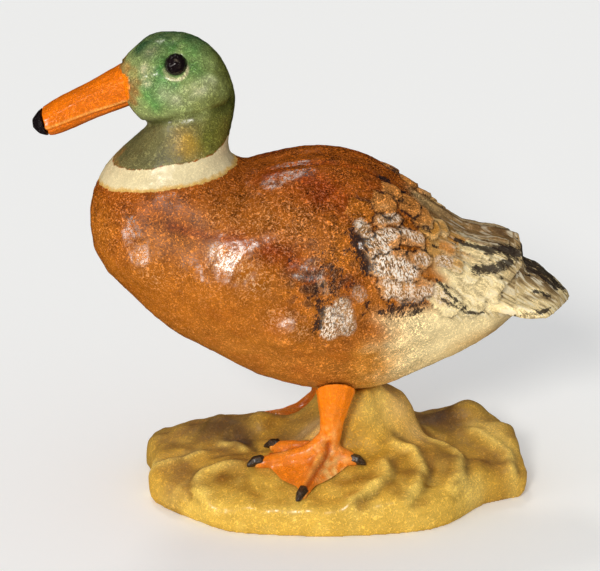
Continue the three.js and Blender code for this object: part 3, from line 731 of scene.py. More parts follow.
# %% Black marks
# They are kept as a soft mask, and the material cuts them sharp.
BLACK_MARKS = [  # points, width, strength
    ([(1.6, 10, 34.4), (2, 10.2, 33.4), (3.1, 10.9, 30.7)], 1, 0.78),
    ([(3.4, 10.6, 30.6), (4.4, 10.9, 30.2), (6.6, 10.6, 29.6)], 0.25, 0.7),
    ([(3.1, 10.2, 32.6), (4.6, 10.2, 32.4)], 0.3, 0.6), ([(3.6, 9, 35), (3.2, 9.6, 34.4)], 0.35, 0.6),
    ([(-2.1, 12.1, 27.4), (-2, 12.2, 25.5), (-2.4, 12.1, 24.3)], 0.7, 0.7),
    ([(-0.4, 12.3, 26.4), (0.8, 12.3, 24.6)], 1.2, 0.36), ([(3, 11.7, 27), (2.9, 11.9, 26)], 0.6, 0.62),
    ([(1.1, 10.7, 32.8), (0.6, 10.8, 32.5)], 0.4, 0.65),
    ([(-5.1, 11.1, 32.1), (-5.4, 11.2, 31.8)], 0.35, 0.65),
    ([(-2.8, 11.6, 28.6), (-1.4, 11.9, 27.6), (0.4, 11.9, 28.1)], 0.6, 0.5),
    ([(5, 11.6, 26.2), (8.8, 10.8, 26)], 1.25, 0.6),
    ([(9.6, 9.6, 29.6), (10.6, 9.1, 28.7), (12.1, 9.2, 26.9), (13.8, 8.4, 25)], 0.26, 0.95),
    ([(12.9, 4.3, 31.5), (16.6, 4.1, 30.4)], 0.5, 1), ([(16.4, 4.2, 30.3), (19.3, 3.2, 29.7)], 0.85, 1),
    ([(14.9, 6.4, 28.8), (17, 5.8, 28.8), (18.7, 4.8, 29.1)], 0.7, 0.95),
    ([(18.8, 3.8, 29.6), (20, 2.2, 29)], 1, 1), ([(10.2, 6.9, 31.9), (10.6, 6.7, 31.6)], 0.3, 0.7),
    ([(9.5, 5.8, 33.6), (9.9, 5.9, 33.2)], 0.3, 0.7),
    ([(11.2, 9.6, 26.6), (14, 8.3, 24.6), (16.6, 6.6, 23.6), (18.4, 5.6, 23)], 0.28, 0.9),
    ([(18.4, 6.6, 23.8), (20.4, 7, 24), (22.3, 6.9, 24.1), (23.4, 5.6, 24.4)], 0.32, 1),
    ([(19.8, 0.4, 28.9), (22, 0.5, 27.1), (23.7, 0.4, 25.7), (25, 0.3, 24.8)], 1.2, 1),
    ([(21.2, 1.8, 27.2), (23.9, 1.6, 25.2)], 0.8, 1), ([(21.6, 4.2, 25.5), (23.2, 4, 24.8)], 0.4, 0.85),
    ([(20, 2.9, 27.2), (21.4, 2.6, 26.6)], 0.25, 0.7),
    ([(4.4, 2.6, 38.2), (5.4, 2.2, 37.8), (6.5, 3, 37)], 0.5, 0.8),
]
black = bird.strongest(BLACK_MARKS)
black = np.maximum(black, 0.45 * bird.near((-1.4, 11.6, 29.0), 4.2, (1, 1, 0.9)))
black = np.maximum(black, 0.36 * bird.near((2.6, 10.4, 33.4), 2.2))
# The black mask also carries the painted shadow behind the feathers' edges.
shadow_behind_feathers = (0.6 - 0.24 * ease(9, 11, x)) * ease(0, 4, x) * (1 + 0.6 * fleck)
bird.keep("black", np.maximum(black, shadow * shadow_behind_feathers))
print(len(BLACK_MARKS), "black marks a side")

# %% Pale barbs: silver paint and painted glints on the barbs
# Each row is a line of points, its width and its strength.
PALE_BARBS_AND_GLINTS = [
    ([(2.3, 9.3, 35.1), (2.9, 9.6, 34.3)], 0.5, 0.8), ([(4.6, 8.2, 35.3), (6.2, 7.2, 35.2)], 0.4, 0.8),
    ([(3.5, 10.2, 33.3), (5.5, 8.9, 33.9)], 0.65, 1), ([(3.4, 10.7, 32), (5, 10.2, 32.4)], 0.55, 0.9),
    ([(6.8, 7.9, 33.9), (8.8, 7.3, 32.8)], 0.5, 0.8), ([(4.6, 10.9, 31.3), (7.2, 10.4, 30.4)], 1, 1),
    ([(8.3, 9.2, 31.2), (9.4, 8.7, 30.9)], 0.5, 0.8), ([(5.4, 11.4, 29.3), (7.2, 10.9, 29.2)], 0.6, 0.8),
    ([(5.8, 11.3, 28.2), (9.2, 10.1, 27.6)], 0.7, 0.75), ([(6.8, 11.2, 27.2), (8.8, 10.6, 27.2)], 0.5, 0.6),
    ([(-1.1, 12.3, 25.9), (-1.2, 12.3, 23.7)], 0.7, 0.9),
    ([(0.3, 12.3, 26.8), (0.7, 12.3, 24.4)], 0.75, 0.75),
    ([(-2, 11.7, 29.6), (-1.4, 11.9, 28.6)], 0.45, 0.3), ([(1.9, 11.8, 28.4), (2.3, 11.8, 27.9)], 0.5, 0.3),
    ([(11, 7.7, 30.3), (11.8, 7.3, 30.1)], 0.5, 0.7), ([(10.3, 9.3, 27.6), (11.4, 9.4, 26.4)], 0.6, 0.5),
]
# Pale barbs: partly silver paint, partly painted glints where the lamps catch the barbs.
silver_and_glint = np.zeros(len(x))
for points, width, strength in PALE_BARBS_AND_GLINTS:
    ragged_line = bird.along(points, width * 1.15) * (1 + 0.9 * fleck)
    silver_and_glint = np.maximum(silver_and_glint, strength * ease(0.14, 0.45, ragged_line))
bird.keep("silver_and_glint", silver_and_glint)
print(len(PALE_BARBS_AND_GLINTS), "silver patches a side")

# %% Painted highlights, pale ridges and matt patches
PAINTED_GLINTS = [  # painted highlights where the lamps glint on the varnish, laid as pale ridge paint: points, width, strength
    ([(-13.4, 11.2, 32.2), (-11.1, 11.7, 31.2), (-9, 11.9, 29.5)], 1.7, 0.75),
    ([(-22.4, 8, 32.7), (-21.4, 8.7, 30.8), (-19.6, 9, 28.6)], 1.2, 0.45),
    ([(-6.8, 12.2, 25.6), (-4.2, 12.2, 24.1)], 1.4, 0.5), ([(-7.4, 5.4, 38.7), (-5.8, 5.8, 38.2)], 1.1, 0.4),
    ([(-5.6, 8.4, 36.7), (-3.2, 8.8, 36.1)], 1.4, 0.3), ([(-2.8, 11.3, 31.6), (-1.5, 11.9, 28.6)], 1.2, 0.4),
    ([(-21, 4.1, 50.7), (-20.7, 4.3, 49.8)], 0.8, 0.5), ([(-16, 4.9, 49), (-15, 4.8, 48.7)], 0.5, 0.4),
    ([(-17.4, 4.6, 43.9), (-17.2, 4.8, 42.6)], 0.5, 0.35),
    ([(-15.4, 5.4, 41.2), (-14.4, 4.9, 40.6)], 0.6, 0.4), ([(-20.6, 2.9, 52.4), (-19.4, 3, 53)], 0.5, 0.25),
]
# Paler ridge tops over the front of the body, most on the upper breast: wear, and a painted sheen.
pale = 0.1 * ease(8, 4, x) * ease(41, 37, z) + 0.2 * bird.near((-8, 9.5, 34.6), 5, (1.3, 1, 0.8))
sheen_and_wear = np.maximum(pale * (1 + 0.6 * drift), bird.strongest(PAINTED_GLINTS, 1 + 0.5 * fleck))
bird.keep("sheen_and_wear", sheen_and_wear)
GLOSSY = 0.22
matt = 0.6 * bird.near((-16.8, 8.9, 34.0), 3.0, (0.9, 1, 0.8)) + 0.4 * bird.near((-18.8, 6.2, 42.2), 1.6)
matt += 0.5 * bird.near((-19.8, 7.6, 35.2), 1.6)
throat = neck * ease(-14, -17, x) * ease(46, 44, z)
bird.keep("rough", matt + GLOSSY - 0.06 * ease(0, 0.4, sheen_and_wear - 0.3) + 0.14 * throat)
print("roughness up to", (matt + GLOSSY).max().round(2))

# %% Barbs, streaks, grain and collar
bare = comb[:, 2] == 0  # where no feather was laid, the barbs follow the body
rear, tail = bare & (x > 11), bare & (x > 19.5)
comb[bare] = np.column_stack([x - 0.3 * z, z + 0.2 * x, side])[bare]
comb[rear] = np.column_stack([0.4 * x + 0.6 * z - 0.4 * side, 0.5 * x, 0 * x])[rear]
comb[tail] = np.column_stack([0.5 * x + 0.5 * z - 0.6 * side, 0.5 * x - 0.5 * z, 0 * x])[tail]
comb[:, 2] += 4.0 * ease(-0.8, 0.8, bird.at[:, 1])  # the barbs differ from side to side
bird.keep("comb", comb * MM, "FLOAT_VECTOR", "vector")
streak = ease(10.5, 13, x) * (1 - 0.35 * ease(18.5, 17, x))
streak = streak * ease(22.4, 23.4, z + 0.15 * (x - 18)) * ease(0.6, 1.4, side + 0.2 * (x - 12))
bird.keep("streak", streak)
collar = np.minimum(ring_low, ring_high)
grain = 0.55 + 0.45 * ease(27, 34, z) + 0.25 * ease(-9, -4, x) - 0.2 * silver_and_glint
grain = np.where(neck, 0.65, grain) * np.where((collar > 0) & (x < NECK_END), 0.18, 1)
bird.keep("grain", grain * (1 - 0.6 * ease(8, 11, x)))
bird.keep("hem", ring_low)
bird.keep("ring", np.where(x < NECK_END, collar, -5))
print("streaks on", (streak > 0.5).sum(), "corners")

# %% [markdown]
# ## Varnish and grain
# Under the varnish the casting is finely wrinkled, like leather, and the stain has run into
# the wrinkles. That is the effect every painted piece shares, so it is a node group: winding
# ridges of noise give a height for the bump and a mask for light and dark paint. Modelled
# wrinkles of a third of a millimetre would need millions of faces, and bump shows them as well.


# %% A node group for wrinkled paint
SHEEN_AND_WEAR_PAINT = (0.74, 0.5, 0.26, 1)
INPUTS = {"Paint": "Color", "Grain": "Float", "Size": "Float", "Contrast": "Float", "SheenAndWear": "Float"}
OUTPUTS = {"Colour": "Color", "Height": "Float"}


def wrinkle_group():
    group = bpy.data.node_groups.new("wrinkled_paint", "ShaderNodeTree")
    for sockets, way in ((INPUTS, "INPUT"), (OUTPUTS, "OUTPUT")):
        for name, kind in sockets.items():
            group.interface.new_socket(name, in_out=way, socket_type="NodeSocket" + kind)
    given = group.nodes.new("NodeGroupInput").outputs
    at = put(group, "TexCoord").outputs["Object"]
    scale = calc(group, "DIVIDE", 1 / MM, given["Size"])
    bend = noisy(group, at, scale, 1.0, Roughness=0.5, Distortion=0.8)
    fold = calc(group, "ABSOLUTE", calc(group, "SUBTRACT", bend, 0.5))
    ridge = ramp(group, fold, 0.05, 0.0)
    patch = noisy(group, at, 620.0, 3.0)
    fine = noisy(group, at, calc(group, "MULTIPLY", scale, 2.2), 1.0)
    light = calc(group, "ADD", fine, patch)
    light = calc(group, "ADD", light, calc(group, "MULTIPLY_ADD", ridge, 1.1, -1.2))
    depth = calc(group, "MULTIPLY", given["Contrast"], given["Grain"])
    gain = calc(group, "MAXIMUM", calc(group, "MULTIPLY_ADD", light, depth, 1.0), 0.08)
    bright = put(group, "VectorMath", {0: given["Paint"], "Scale": gain}, operation="SCALE").outputs[0]
    # Pale paint on the ridge tops: wear, and painted highlights where the varnish glints.
    sheen_and_wear = calc(group, "MULTIPLY", ramp(group, fold, 0.08, 0.0), given["SheenAndWear"])
    sheen_and_wear = calc(group, "MULTIPLY", sheen_and_wear, ramp(group, fine, 0.35, 0.6))
    high = calc(group, "MULTIPLY_ADD", fine, 0.25, ridge)
    out = group.nodes.new("NodeGroupOutput").inputs
    group.links.new(blend(group, sheen_and_wear, bright, SHEEN_AND_WEAR_PAINT), out["Colour"])
    group.links.new(calc(group, "MULTIPLY", high, given["Grain"]), out["Height"])
    return group


wrinkles = wrinkle_group()
print(len(wrinkles.nodes), "nodes in the group")


# %% Helpers for painted materials
def stored(tree, name, socket="Fac"):
    """Reads what a Surface keeps on its corners."""
    return put(tree, "Attribute", attribute_name=name).outputs[socket]


def wrinkled(tree, paint, grain, size, contrast, sheen_wear=0.0):
    given = {"Paint": paint, "Grain": grain, "Size": size, "Contrast": contrast, "SheenAndWear": sheen_wear}
    return put(tree, "Group", given, node_tree=wrinkles).outputs


def stain(tree, colour, mask, strength, pot):
    """Lays a paint over a colour where the mask is high."""
    return blend(tree, calc(tree, "MULTIPLY", mask, strength), colour, (*pot, 1))


def varnish(tree, colour, height, roughness, depth):
    """Varnished paint with a bump of some depth in mm, linked to the material's output."""
    bump = put(tree, "Bump", {"Height": height, "Strength": 1.0, "Distance": depth * MM}).outputs[0]
    shader = put(tree, "BsdfPrincipled", {"Base Color": colour, "Roughness": roughness, "Normal": bump})
    put(tree, "OutputMaterial", {"Surface": shader.outputs[0]})


def finish(piece, material, slot, *nodes):
    """Paints a piece, ties it to the body and hides the CAD nodes it stands for."""
    piece.data.materials.append(material)
    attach(piece, "root")
    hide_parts(*nodes)


# %% Plumage: the collar over the wrinkled stains
COLLAR, COLLAR_HEM = srgb(224, 208, 164), srgb(212, 170, 92)
SPECK = 2 / 3  # millimetres across the specks that make painted edges ragged
plumage = new_material("plumage")
tree = plumage.node_tree
at = put(tree, "TexCoord").outputs["Object"]
speck = noisy(tree, at, 1 / (SPECK * MM), 3.0, Roughness=0.6)
ragged = calc(tree, "SUBTRACT", speck, 0.5)
ring = ramp(tree, calc(tree, "MULTIPLY_ADD", ragged, 0.5, stored(tree, "ring")), -0.04, 0.06)
hem = ramp(tree, calc(tree, "MULTIPLY_ADD", ragged, 0.8, stored(tree, "hem")), 0.55, 0.1)
cream = blend(tree, hem, (*COLLAR, 1), (*COLLAR_HEM, 1))
colour = blend(tree, ring, stored(tree, "paint", "Color"), cream)
wrinkly = wrinkled(tree, colour, stored(tree, "grain"), 0.42, 1.3, stored(tree, "sheen_and_wear"))
print("the collar's edge is ragged by specks of", round(SPECK, 2), "mm")


# %% Plumage: streaks, barbs and black marks
def combed(tree, fineness, detail, **more):
    """Noise drawn out into strands that follow the barbs."""
    place = put(tree, "Mapping", {"Vector": stored(tree, "comb", "Vector"), "Scale": fineness})
    return noisy(tree, place.outputs[0], 1.0, detail, **more)


strand = combed(tree, (6800, 2800, 900), 1.5, Distortion=1.1)
hair = combed(tree, (3400, 700, 900), 2.0)
streaky, silver_glint_mask = stored(tree, "streak"), stored(tree, "silver_and_glint")
# Painted glints: pale strokes along the barbs.
pale_barb_glints = calc(tree, "MULTIPLY", ramp(tree, strand, 0.48, 0.56), ramp(tree, speck, 0.34, 0.46))
# The black marks, and the painted shadow behind feather edges, are cut sharp here.
mark = calc(tree, "MULTIPLY_ADD", ragged, 1.3, stored(tree, "black"))
mark = calc(tree, "MULTIPLY_ADD", calc(tree, "SUBTRACT", strand, 0.5), 1.5, mark)
LAYERS = [  # mask, where it may lie, strength, paint: from the lowest layer up
    (ramp(tree, hair, 0.47, 0.36), streaky, 0.65, srgb(104, 78, 48)),
    (ramp(tree, hair, 0.53, 0.62), streaky, 0.6, srgb(250, 240, 210)),
    (silver_glint_mask, 1.0, 0.75, srgb(218, 168, 110)),
    (pale_barb_glints, silver_glint_mask, 1.0, srgb(252, 242, 228)),
    (ramp(tree, strand, 0.48, 0.42), silver_glint_mask, 0.85, srgb(64, 42, 28)),
    (ramp(tree, mark, 0.4, 0.62), 1.0, 0.92, srgb(38, 30, 30)),
]
colour = wrinkly["Colour"]
for mask, where, strength, pot in LAYERS:
    colour = stain(tree, colour, calc(tree, "MULTIPLY", mask, where), strength, pot)
height = calc(tree, "MULTIPLY_ADD", calc(tree, "MULTIPLY", strand, silver_glint_mask), 2.0, wrinkly["Height"])
varnish(tree, colour, height, stored(tree, "rough"), 0.026)
finish(skin, plumage, "trunk_paint", "trunk", "neck", "head", "left_wing", "right_wing", "tail")
print(len(LAYERS), "layers of fine marks,", len(tree.nodes), "nodes")


# %% [markdown]
# ## Bill, nail and eyes
# The bill is one casting with the bird, but its paint ends in a sharp line, so it is easier as
# a piece of its own. It starts from the CAD bill, remeshed fine, with the line of the mouth
# pressed in and its root slid into the head. The nail at its tip and the two domed eyes are
# dots of black enamel on the real bird, so they are small smooth casts of their CAD solids.

# %% Shape the bill
MOUTH_X, MOUTH_Z, MOUTH_SLOPE = -26.7, 45.15, 0.38
bill = cast(["upper_bill", "lower_bill"], "drake_bill", grain=0.14, closing=0.16, passes=14)
beak = Surface(bill)
bill_x, bill_side, bill_z = beak.spot.T
over_mouth = bill_z - MOUTH_Z - MOUTH_SLOPE * (bill_x - MOUTH_X)
off_mouth = over_mouth / math.hypot(1, MOUTH_SLOPE)
beak.height -= 0.13 * peak(off_mouth, 0, 0.13)
beak.height += 0.07 * peak(off_mouth, 0.42, 0.26) * ease(0.6, 1.4, bill_side)
beak.height -= 0.32 * ease(0.35, 0.9, beak.out[:, 2]) * peak(bill_x, -27.6, 2.8)
beak.height += 0.03 * beak.cloud(0.9, 3)
beak.press()


# %% Enamel, the finish of all small painted pieces
def enamel(name, grain, size, contrast, depth, roughness, pot=None):
    """Wrinkled paint, of one pot or as kept on the piece. A roughness of None is kept there too."""
    made = new_material(name)
    tree = made.node_tree
    base = (*pot, 1) if pot else stored(tree, "paint", "Color")
    out = wrinkled(tree, base, grain, size, contrast)
    rough = stored(tree, "rough") if roughness is None else roughness
    varnish(tree, out["Colour"], out["Height"], rough, depth)
    return made


# %% Paint the bill and slide its root into the head
ORANGE = {
    "bright": srgb(232, 115, 2), "leg": srgb(255, 134, 0), "deep": srgb(198, 100, 22),
    "pale": srgb(250, 178, 86), "web": srgb(176, 80, 6), "toe": srgb(244, 134, 22),
    "glint": srgb(255, 200, 116), "shade": srgb(150, 70, 4),
}
POTS.update({"orange " + name: value for name, value in ORANGE.items()})
paint = np.tile(POTS["orange bright"], (len(bill_x), 1))
dab(paint, "orange deep", ease(-0.1, -0.35, off_mouth) * 0.8)
dab(paint, "orange deep", peak(off_mouth, 0, 0.16) * 0.7)
# Painted highlight: a pale line along the lip just above the mouth.
dab(paint, "orange pale", peak(off_mouth, 0.4, 0.12) * 0.7)
face = beak.cloud(0.9, 6) * 0.25 + orange_inside(bill_x, bill_z)
dab(paint, "feather edge", ease(0.12, -0.1, face))
beak.keep_paint(paint)
beak.move(np.outer(0.34 * ease(-28, -23, beak.at[:, 0]), [1, 0, 0]))
bill_orange = enamel("bill_orange", grain=0.8, size=0.42, contrast=0.7, depth=0.016, roughness=0.22)
finish(bill, bill_orange, "bill_paint", "upper_bill", "lower_bill")
print(len(ORANGE), "pots of orange")

# %% Nail
BLACK = srgb(28, 22, 24)
black_enamel = enamel("black_enamel", 1, size=0.4, contrast=0.6, depth=0.03, roughness=0.2, pot=BLACK)
nail = cast(["bill_nail"], "bill_nail_cap", grain=0.1, closing=0.12, passes=24)
finish(nail, black_enamel, "nail_paint", "bill_nail")

# %% Eyes
POTS.update({"pupil": srgb(24, 16, 18), "eye glint": srgb(206, 190, 164)})
EYE_CURL = [(-17.6, 4.8, 52.3), (-17.0, 5.0, 52.0), (-16.9, 5.1, 51.5), (-17.4, 5.3, 51.3)]
eye_enamel = enamel("eye_enamel", grain=1.0, size=0.5, contrast=0.6, depth=0.012, roughness=0.14)
for hand in ("left", "right"):
    eye = cast([hand + "_eye"], hand + "_glass_eye", grain=0.1, closing=0.1, passes=10)
    dome = Surface(eye)
    dome.height += 0.02
    dome.press()
    paint = np.tile(POTS["pupil"], (len(dome.spot), 1))
    dab(paint, "eye glint", dome.along(EYE_CURL, 0.13) * (0.7 + dome.cloud(0.5, 7)))
    dome.keep_paint(paint)
    finish(eye, eye_enamel, "eye_paint", hand + "_eye")

# %% [markdown]
# ## Legs, feet and claws
# Each leg runs into its webbed foot without a joint, so the two CAD solids are fused into one
# fine shell and rubbed until toes and web flow together. Thin webs are stretched between the
# toes before the cast, as three small hulls. The claws are dots of dark enamel.


# %% Find the claws and stretch webs between them
TOES = ("inner", "middle", "outer", "hind")


def middle_of(node):
    low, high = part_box(node)
    return (Vector(low) + Vector(high)) / 2


def web(*spots):
    """A thin skin stretched round a few beads, as a mesh to be cast with the foot."""
    bm = bmesh.new()
    for spot in spots:
        bmesh.ops.create_icosphere(bm, subdivisions=2, radius=0.3 * MM, matrix=Matrix.Translation(spot))
    hull = bmesh.ops.convex_hull(bm, input=bm.verts)
    loose = [part for part in hull["geom_interior"] if isinstance(part, bmesh.types.BMVert)]
    bmesh.ops.delete(bm, geom=loose, context="VERTS")
    made = bpy.data.meshes.new("web")
    bm.to_mesh(made)
    bm.free()
    return made


def webs_of(ankle, claws):
    """Three webs that hang a little under the lines from the ankle to the claws."""
    down = Vector((0, 0, 0.55 * MM))
    made = []
    for one, other in zip(TOES[:-1], TOES[1:]):
        one, other = claws[one], claws[other]
        edge = ankle.lerp((one + other) / 2, 0.95)
        corners = (ankle, ankle.lerp(one, 0.85), ankle.lerp(other, 0.85), edge)
        made.append(web(*[corner - down for corner in corners]))
    return made


def webbed(at):
    """The foot, below the ankle."""
    return float(ease(11, 8, at.z))


# %% Shape and paint a leg
def shape_foot(limb, ankle, claws):
    """Raises the toes and presses creases beside them. Returns both places, for the painter."""
    limb.height += 0.05 * limb.cloud(1.0, 8) + 0.06
    toes = [limb.along([ankle, claw - Vector((0, 0, 0.4))], 0.55) for claw in claws.values()]
    toe = np.max(toes, axis=0)
    limb.height += (0.5 * toe - 0.12) * ease(9, 7.6, limb.at[:, 2])
    outer = [ankle.xy + Vector((0.5, -0.5)), claws["outer"].xy + Vector((0.5, 0.6))]
    edge = ((claws["inner"] + claws["middle"]) / 2).xy
    inner = [ankle.xy.lerp(edge, 0.3), edge]
    crease = np.maximum(limb.along(outer, 0.35), limb.along(inner, 0.45)) * ease(9, 8, limb.at[:, 2])
    limb.height -= 0.45 * crease
    limb.press()
    return toe, crease


def paint_leg(limb, ankle, claws, toe, crease, far_side):
    height = limb.spot[:, 2]
    paint = np.tile(POTS["orange leg"], (len(height), 1))
    dab(paint, "orange toe", ease(8.6, 7.6, height))
    lobe = ((claws["outer"] + claws["hind"]) / 2).lerp(ankle, 0.3)
    dab(paint, "orange glint", limb.near(lobe, 2.0, (1, 1, 2)) * (0.7 + 1.4 * limb.cloud(0.6, 12)))
    # Painted highlight: paler orange on the raised toes.
    dab(paint, "orange pale", ease(0.3, 0.9, toe) * ease(8.4, 7.2, height) * 0.7)
    # Painted shade: darker web orange in the creases beside the toes.
    dab(paint, "orange web", crease * 0.9)
    if far_side:  # painted shade: the inner side of the far leg is darker
        dab(paint, "orange shade", ease(0.3, -0.3, limb.out[:, 1]) * 0.7)
    dab(paint, "orange deep", ease(0.1, 0.5, limb.cloud(1.8, 9)) * ease(9.5, 8, height) * 0.5)
    # Painted shade: deeper orange in the hollows of the foot.
    dab(paint, "orange deep", ease(0.02, 0.15, limb.hollow(16)) * 0.8)
    limb.keep_paint(paint)


# %% Legs
leg_orange = enamel("leg_orange", grain=0.8, size=0.5, contrast=0.5, depth=0.045, roughness=0.3)
for hand in ("left", "right"):
    claws = {toe: middle_of(f"{hand}_claw_{toe}") for toe in TOES}
    low = middle_of(hand + "_leg")
    ankle = Vector((low.x, low.y, claws["middle"].z + 1.3 * MM))
    leg = cast(
        [hand + "_leg", hand + "_foot"], hand + "_painted_leg", grain=0.13, closing=0.16, passes=10,
        soft=webbed, melting=24, more=webs_of(ankle, claws),
    )
    limb = Surface(leg, both_sides_alike=False)
    ankle, claws = ankle / MM, {toe: claw / MM for toe, claw in claws.items()}
    toe, crease = shape_foot(limb, ankle, claws)
    paint_leg(limb, ankle, claws, toe, crease, far_side=hand == "right")
    finish(leg, leg_orange, "leg_paint", hand + "_leg", hand + "_foot")

# %% Claws
FAR_CLAW_LOW, FAR_CLAW_HIGH, SUNK = 6, 7, 1.3
HORN = srgb(62, 46, 32)
horn = enamel("claw_enamel", 1, size=0.5, contrast=1.3, depth=0.03, roughness=0.34, pot=HORN)
for hand in ("left", "right"):
    nodes = [f"{hand}_claw_{toe}" for toe in TOES]
    dots = cast(nodes, hand + "_painted_claws", grain=0.1, closing=0.1, passes=8)
    tips = Surface(dots, both_sides_alike=False)
    tips.height += 0.02
    tips.press()
    if hand == "right":  # the highest far claw lies behind a ridge of sand
        tips.move(np.outer(ease(FAR_CLAW_LOW, FAR_CLAW_HIGH, tips.at[:, 2]), [0, 0, -SUNK]))
    finish(dots, horn, "claw_paint", *nodes)

# %% [markdown]
# ## The sand
# The stand is modelled as soft overlapping folds of wet sand, painted ochre with a thin brown
# wash that stays in the hollows, painted shade that darkens the hollows and creases, and painted
# highlights on the raised rims. It starts from the CAD base, whose facets are rubbed away; then
# folds are raised one over the other, as the feathers were, only softer.


# %% Cast the sand
def flat_foot(at):
    """The underside stays flat."""
    return float(ease(0.7, 0.2, at.z))


def all_but_foot(at):
    return float(ease(0.5, 1.6, at.z))


stand = cast(
    ["base"], "sand_stand", grain=0.25, closing=0, passes=20,
    keep=flat_foot, soft=all_but_foot, melting=30,
)
sand = Surface(stand, both_sides_alike=False)

# %% Sheets of sand that ran out round the foot
sx, sy, sz = sand.spot.T
crumple = sand.cloud(2.6, 11)
warp = sand.cloud(5.5, 14)
outwards = np.hypot(sx + 1, 1.3 * (sy + 5)) / 5.5 + 0.58 + 0.42 * warp + 0.1 * crumple
sheet = outwards % 1  # 0 just outside the lip of one sheet of sand, 1 on the lip of the next
folded = ease(1.2, 1.9, outwards) * (0.2 + 0.8 * ease(1, 5, sy))
sand.height += 0.62 * sheet * ease(1.0, 0.76, sheet) * folded * (0.75 + 0.6 * crumple)
sand.height += 0.34 * crumple + 0.22 * sand.cloud(1.5, 12) + 0.07 * sand.cloud(0.7, 15)
print(int(outwards.max()), "sheets at most")

# %% Folds of sand
LOBES = {  # where one fold of sand ends on the next, and the middle of the fold
    "far left": ([(-22.4, -1), (-20.6, -2.2), (-18.6, -2.2), (-16.6, -1.8), (-14.9, -0.8)], (-18.6, -4.6)),
    "near left": ([(-10.6, -5.2), (-13.1, -4.9), (-15.6, -5.2), (-16.6, -7.2), (-16.3, -9.2),
        (-15.2, -10.5)], (-12.4, -8.2)),
    "by the claws": ([(-12.6, 1.4), (-10.2, -0.2), (-9.4, -2.6)], (-13, -1.6)),
    "before the foot": ([(5.9, -5.5), (6.4, -7.6), (6, -9.4), (3.8, -11.6), (1.5, -13.5)], (2.6, -9.6)),
    "right of the foot": ([(6.4, -2.2), (9, -3), (10.4, -6.3), (9.5, -10.4), (7.9, -12.6)], (7.2, -7)),
    "near right": ([(10.6, 1.6), (13.2, 1), (14.6, -2), (14.6, -7), (13, -9.8)], (11.6, -5)),
    "far right": ([(15.7, 5.4), (18.2, 2.4), (20.2, 0.4), (20.6, -3.3)], (17.4, -2)),
}
HUMPS = [  # place, reach, height
    ((-8.4, 2.6, 6.6), 1.6, 1.0), ((-13, 4.5, 5), 2.2, 0.7), ((14.8, 8.6, 5), 1.6, 1.0),
    ((20.4, 5.0, 4), 2.2, 0.4), ((4.5, -3.5, 10), 2.4, 0.3), ((-6.2, 1.2, 8.3), 2.0, -1.0),
]
rims, creases = 0, 0
for points, middle in LOBES.values():
    middle = Vector(middle)
    inside = [Vector(point) + (middle - Vector(point)).normalized() * 0.9 for point in points]
    rims = np.maximum(rims, sand.along(inside, 0.8))
    creases = np.maximum(creases, sand.along(points, 0.5))
sand.height += 0.6 * rims - 0.5 * creases
for place, reach, height in HUMPS:
    sand.height += height * sand.near(place, reach, (1.2, 0.9, 1.2))
sand.height *= ease(0.2, 1.4, sz) * ease(-0.2, 0.7, sand.facing[:, 2])
sand.press()

# %% Clear the far leg and soften the whole stand
hidden_leg = sand.near((-4.2, 0.2, 10.2), 2.3, (1, 1.9, 1.1))  # the prop stands before this place
sand.move(np.outer(hidden_leg, [3.4, 0, 0]))
bm = bmesh.new()
bm.from_mesh(stand.data)
melt(bm, 6, all_but_foot)
bm.to_mesh(stand.data)
bm.free()
sand.look()
print("sand reaches", sand.at[:, 2].max().round(2), "mm high")

# %% Wash the sand, and paint its shade and highlights
POTS.update({
    "sand": srgb(214, 164, 48), "pale sand": srgb(246, 208, 100), "lit loam": srgb(240, 198, 116),
    "clay": srgb(186, 156, 116), "wash": srgb(148, 102, 32), "deep wash and shade": srgb(76, 46, 12),
    "olive sand": srgb(164, 128, 44),
})
sx, sy, sz = sand.spot.T
paint = np.tile(POTS["sand"], (len(sx), 1))
on_top = ease(0.2, 0.6, sand.facing[:, 2])
dab(paint, "pale sand", ease(-4, -10, sy) * 0.4)
dab(paint, "olive sand", ease(-2, 4, sy) * 0.7)
dab(paint, "wash", peak(sheet + 0.3 * crumple, 0.4, 0.25) * 0.8 * on_top * folded)
for _, middle in LOBES.values():
    middle = Vector(middle)
    in_the_fold = sand.along([middle, middle + Vector((0.4, 0.8))], 2)
    dab(paint, "wash", in_the_fold * (0.6 + crumple) * on_top)
# Painted highlight: the raised rims are painted pale.
dab(paint, "pale sand", rims * 0.95)
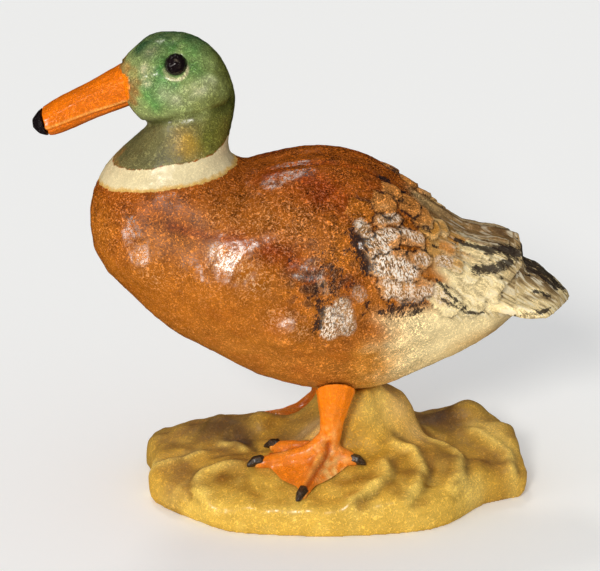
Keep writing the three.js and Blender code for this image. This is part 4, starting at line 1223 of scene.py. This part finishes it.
# Painted shade, with the wash: darker in the creases and in the hollows.
dab(paint, "deep wash and shade", creases * 0.45 * on_top)
dab(paint, "deep wash and shade", ease(0.04, 0.4, sand.hollow(24)) * 0.75)
dab(paint, "wash", ease(0.05, 0.45, sand.cloud(2.6, 19)) * 0.5 * on_top)
print("washed", len(LOBES), "folds")

# %% Dab the sand
WASHED = [  # place, reach, strength
    ((-18.6, -7.6), 1.4, 0.6), ((11.6, -6), 1.6, 0.5), ((18.4, -3), 1.3, 0.6), ((-11.2, -6.2), 1.5, 0.5),
]
LIT = [  # start, end, reach
    ((16.2, 5.6), (17.6, 4.4), 1.5), ((18.4, 2.4), (19.4, 0.8), 1.3), ((14.6, -7.6), (15.6, -6.6), 1.4),
]
# Wash and painted shade: darker along the far left valley and in the far right hollow.
dab(paint, "deep wash and shade", sand.along([(-14.8, 3.2), (-12.0, 2.6), (-10.4, 0.4)], 1.8) * 0.85 * on_top)
dab(paint, "deep wash and shade", sand.near((12.0, 8.0, 5.3), 2.6) * 0.95)
dab(paint, "pale sand", sand.near((4.6, -1.5, 10.5), 2.6) * (0.6 + crumple))
for place, reach, strength in WASHED:
    dab(paint, "wash", sand.along([place, (place[0] + 0.4, place[1] + 0.6)], reach) * strength)
for start, end, reach in LIT:
    dab(paint, "pale sand", sand.along([start, end], reach) * 0.55)
# Painted highlight: lighter sand on the right side of the mound, which faces away from the front lamp.
dab(paint, "lit loam", (sand.near((9.2, -0.6, 7.0), 1.7) + sand.near((6.9, -0.4, 10.2), 2.0)) * 0.8)
dab(paint, "clay", sand.near((-2.2, -2.6, 11), 2.2, (0.8, 1, 1.6)) * 0.8)
dab(paint, "clay", sand.near((-4.4, -1.5, 7.6), 1.8, (1.6, 1, 0.8)) * 0.7)
dab(paint, "pale sand", ease(0.1, 0.5, sand.cloud(2.2, 17)) * ease(-2, -8, sy) * 0.3)
sand.keep_paint(paint)
sand.keep("rough", 0.55 - 0.3 * ease(-7, -9.5, sy))  # the near rim is glossier
painted_sand = enamel("painted_sand", grain=0.8, size=0.5, contrast=0.62, depth=0.035, roughness=None)
finish(stand, painted_sand, "sand_paint", "base")
print(len(WASHED) + len(LIT), "single dabs on the folds")
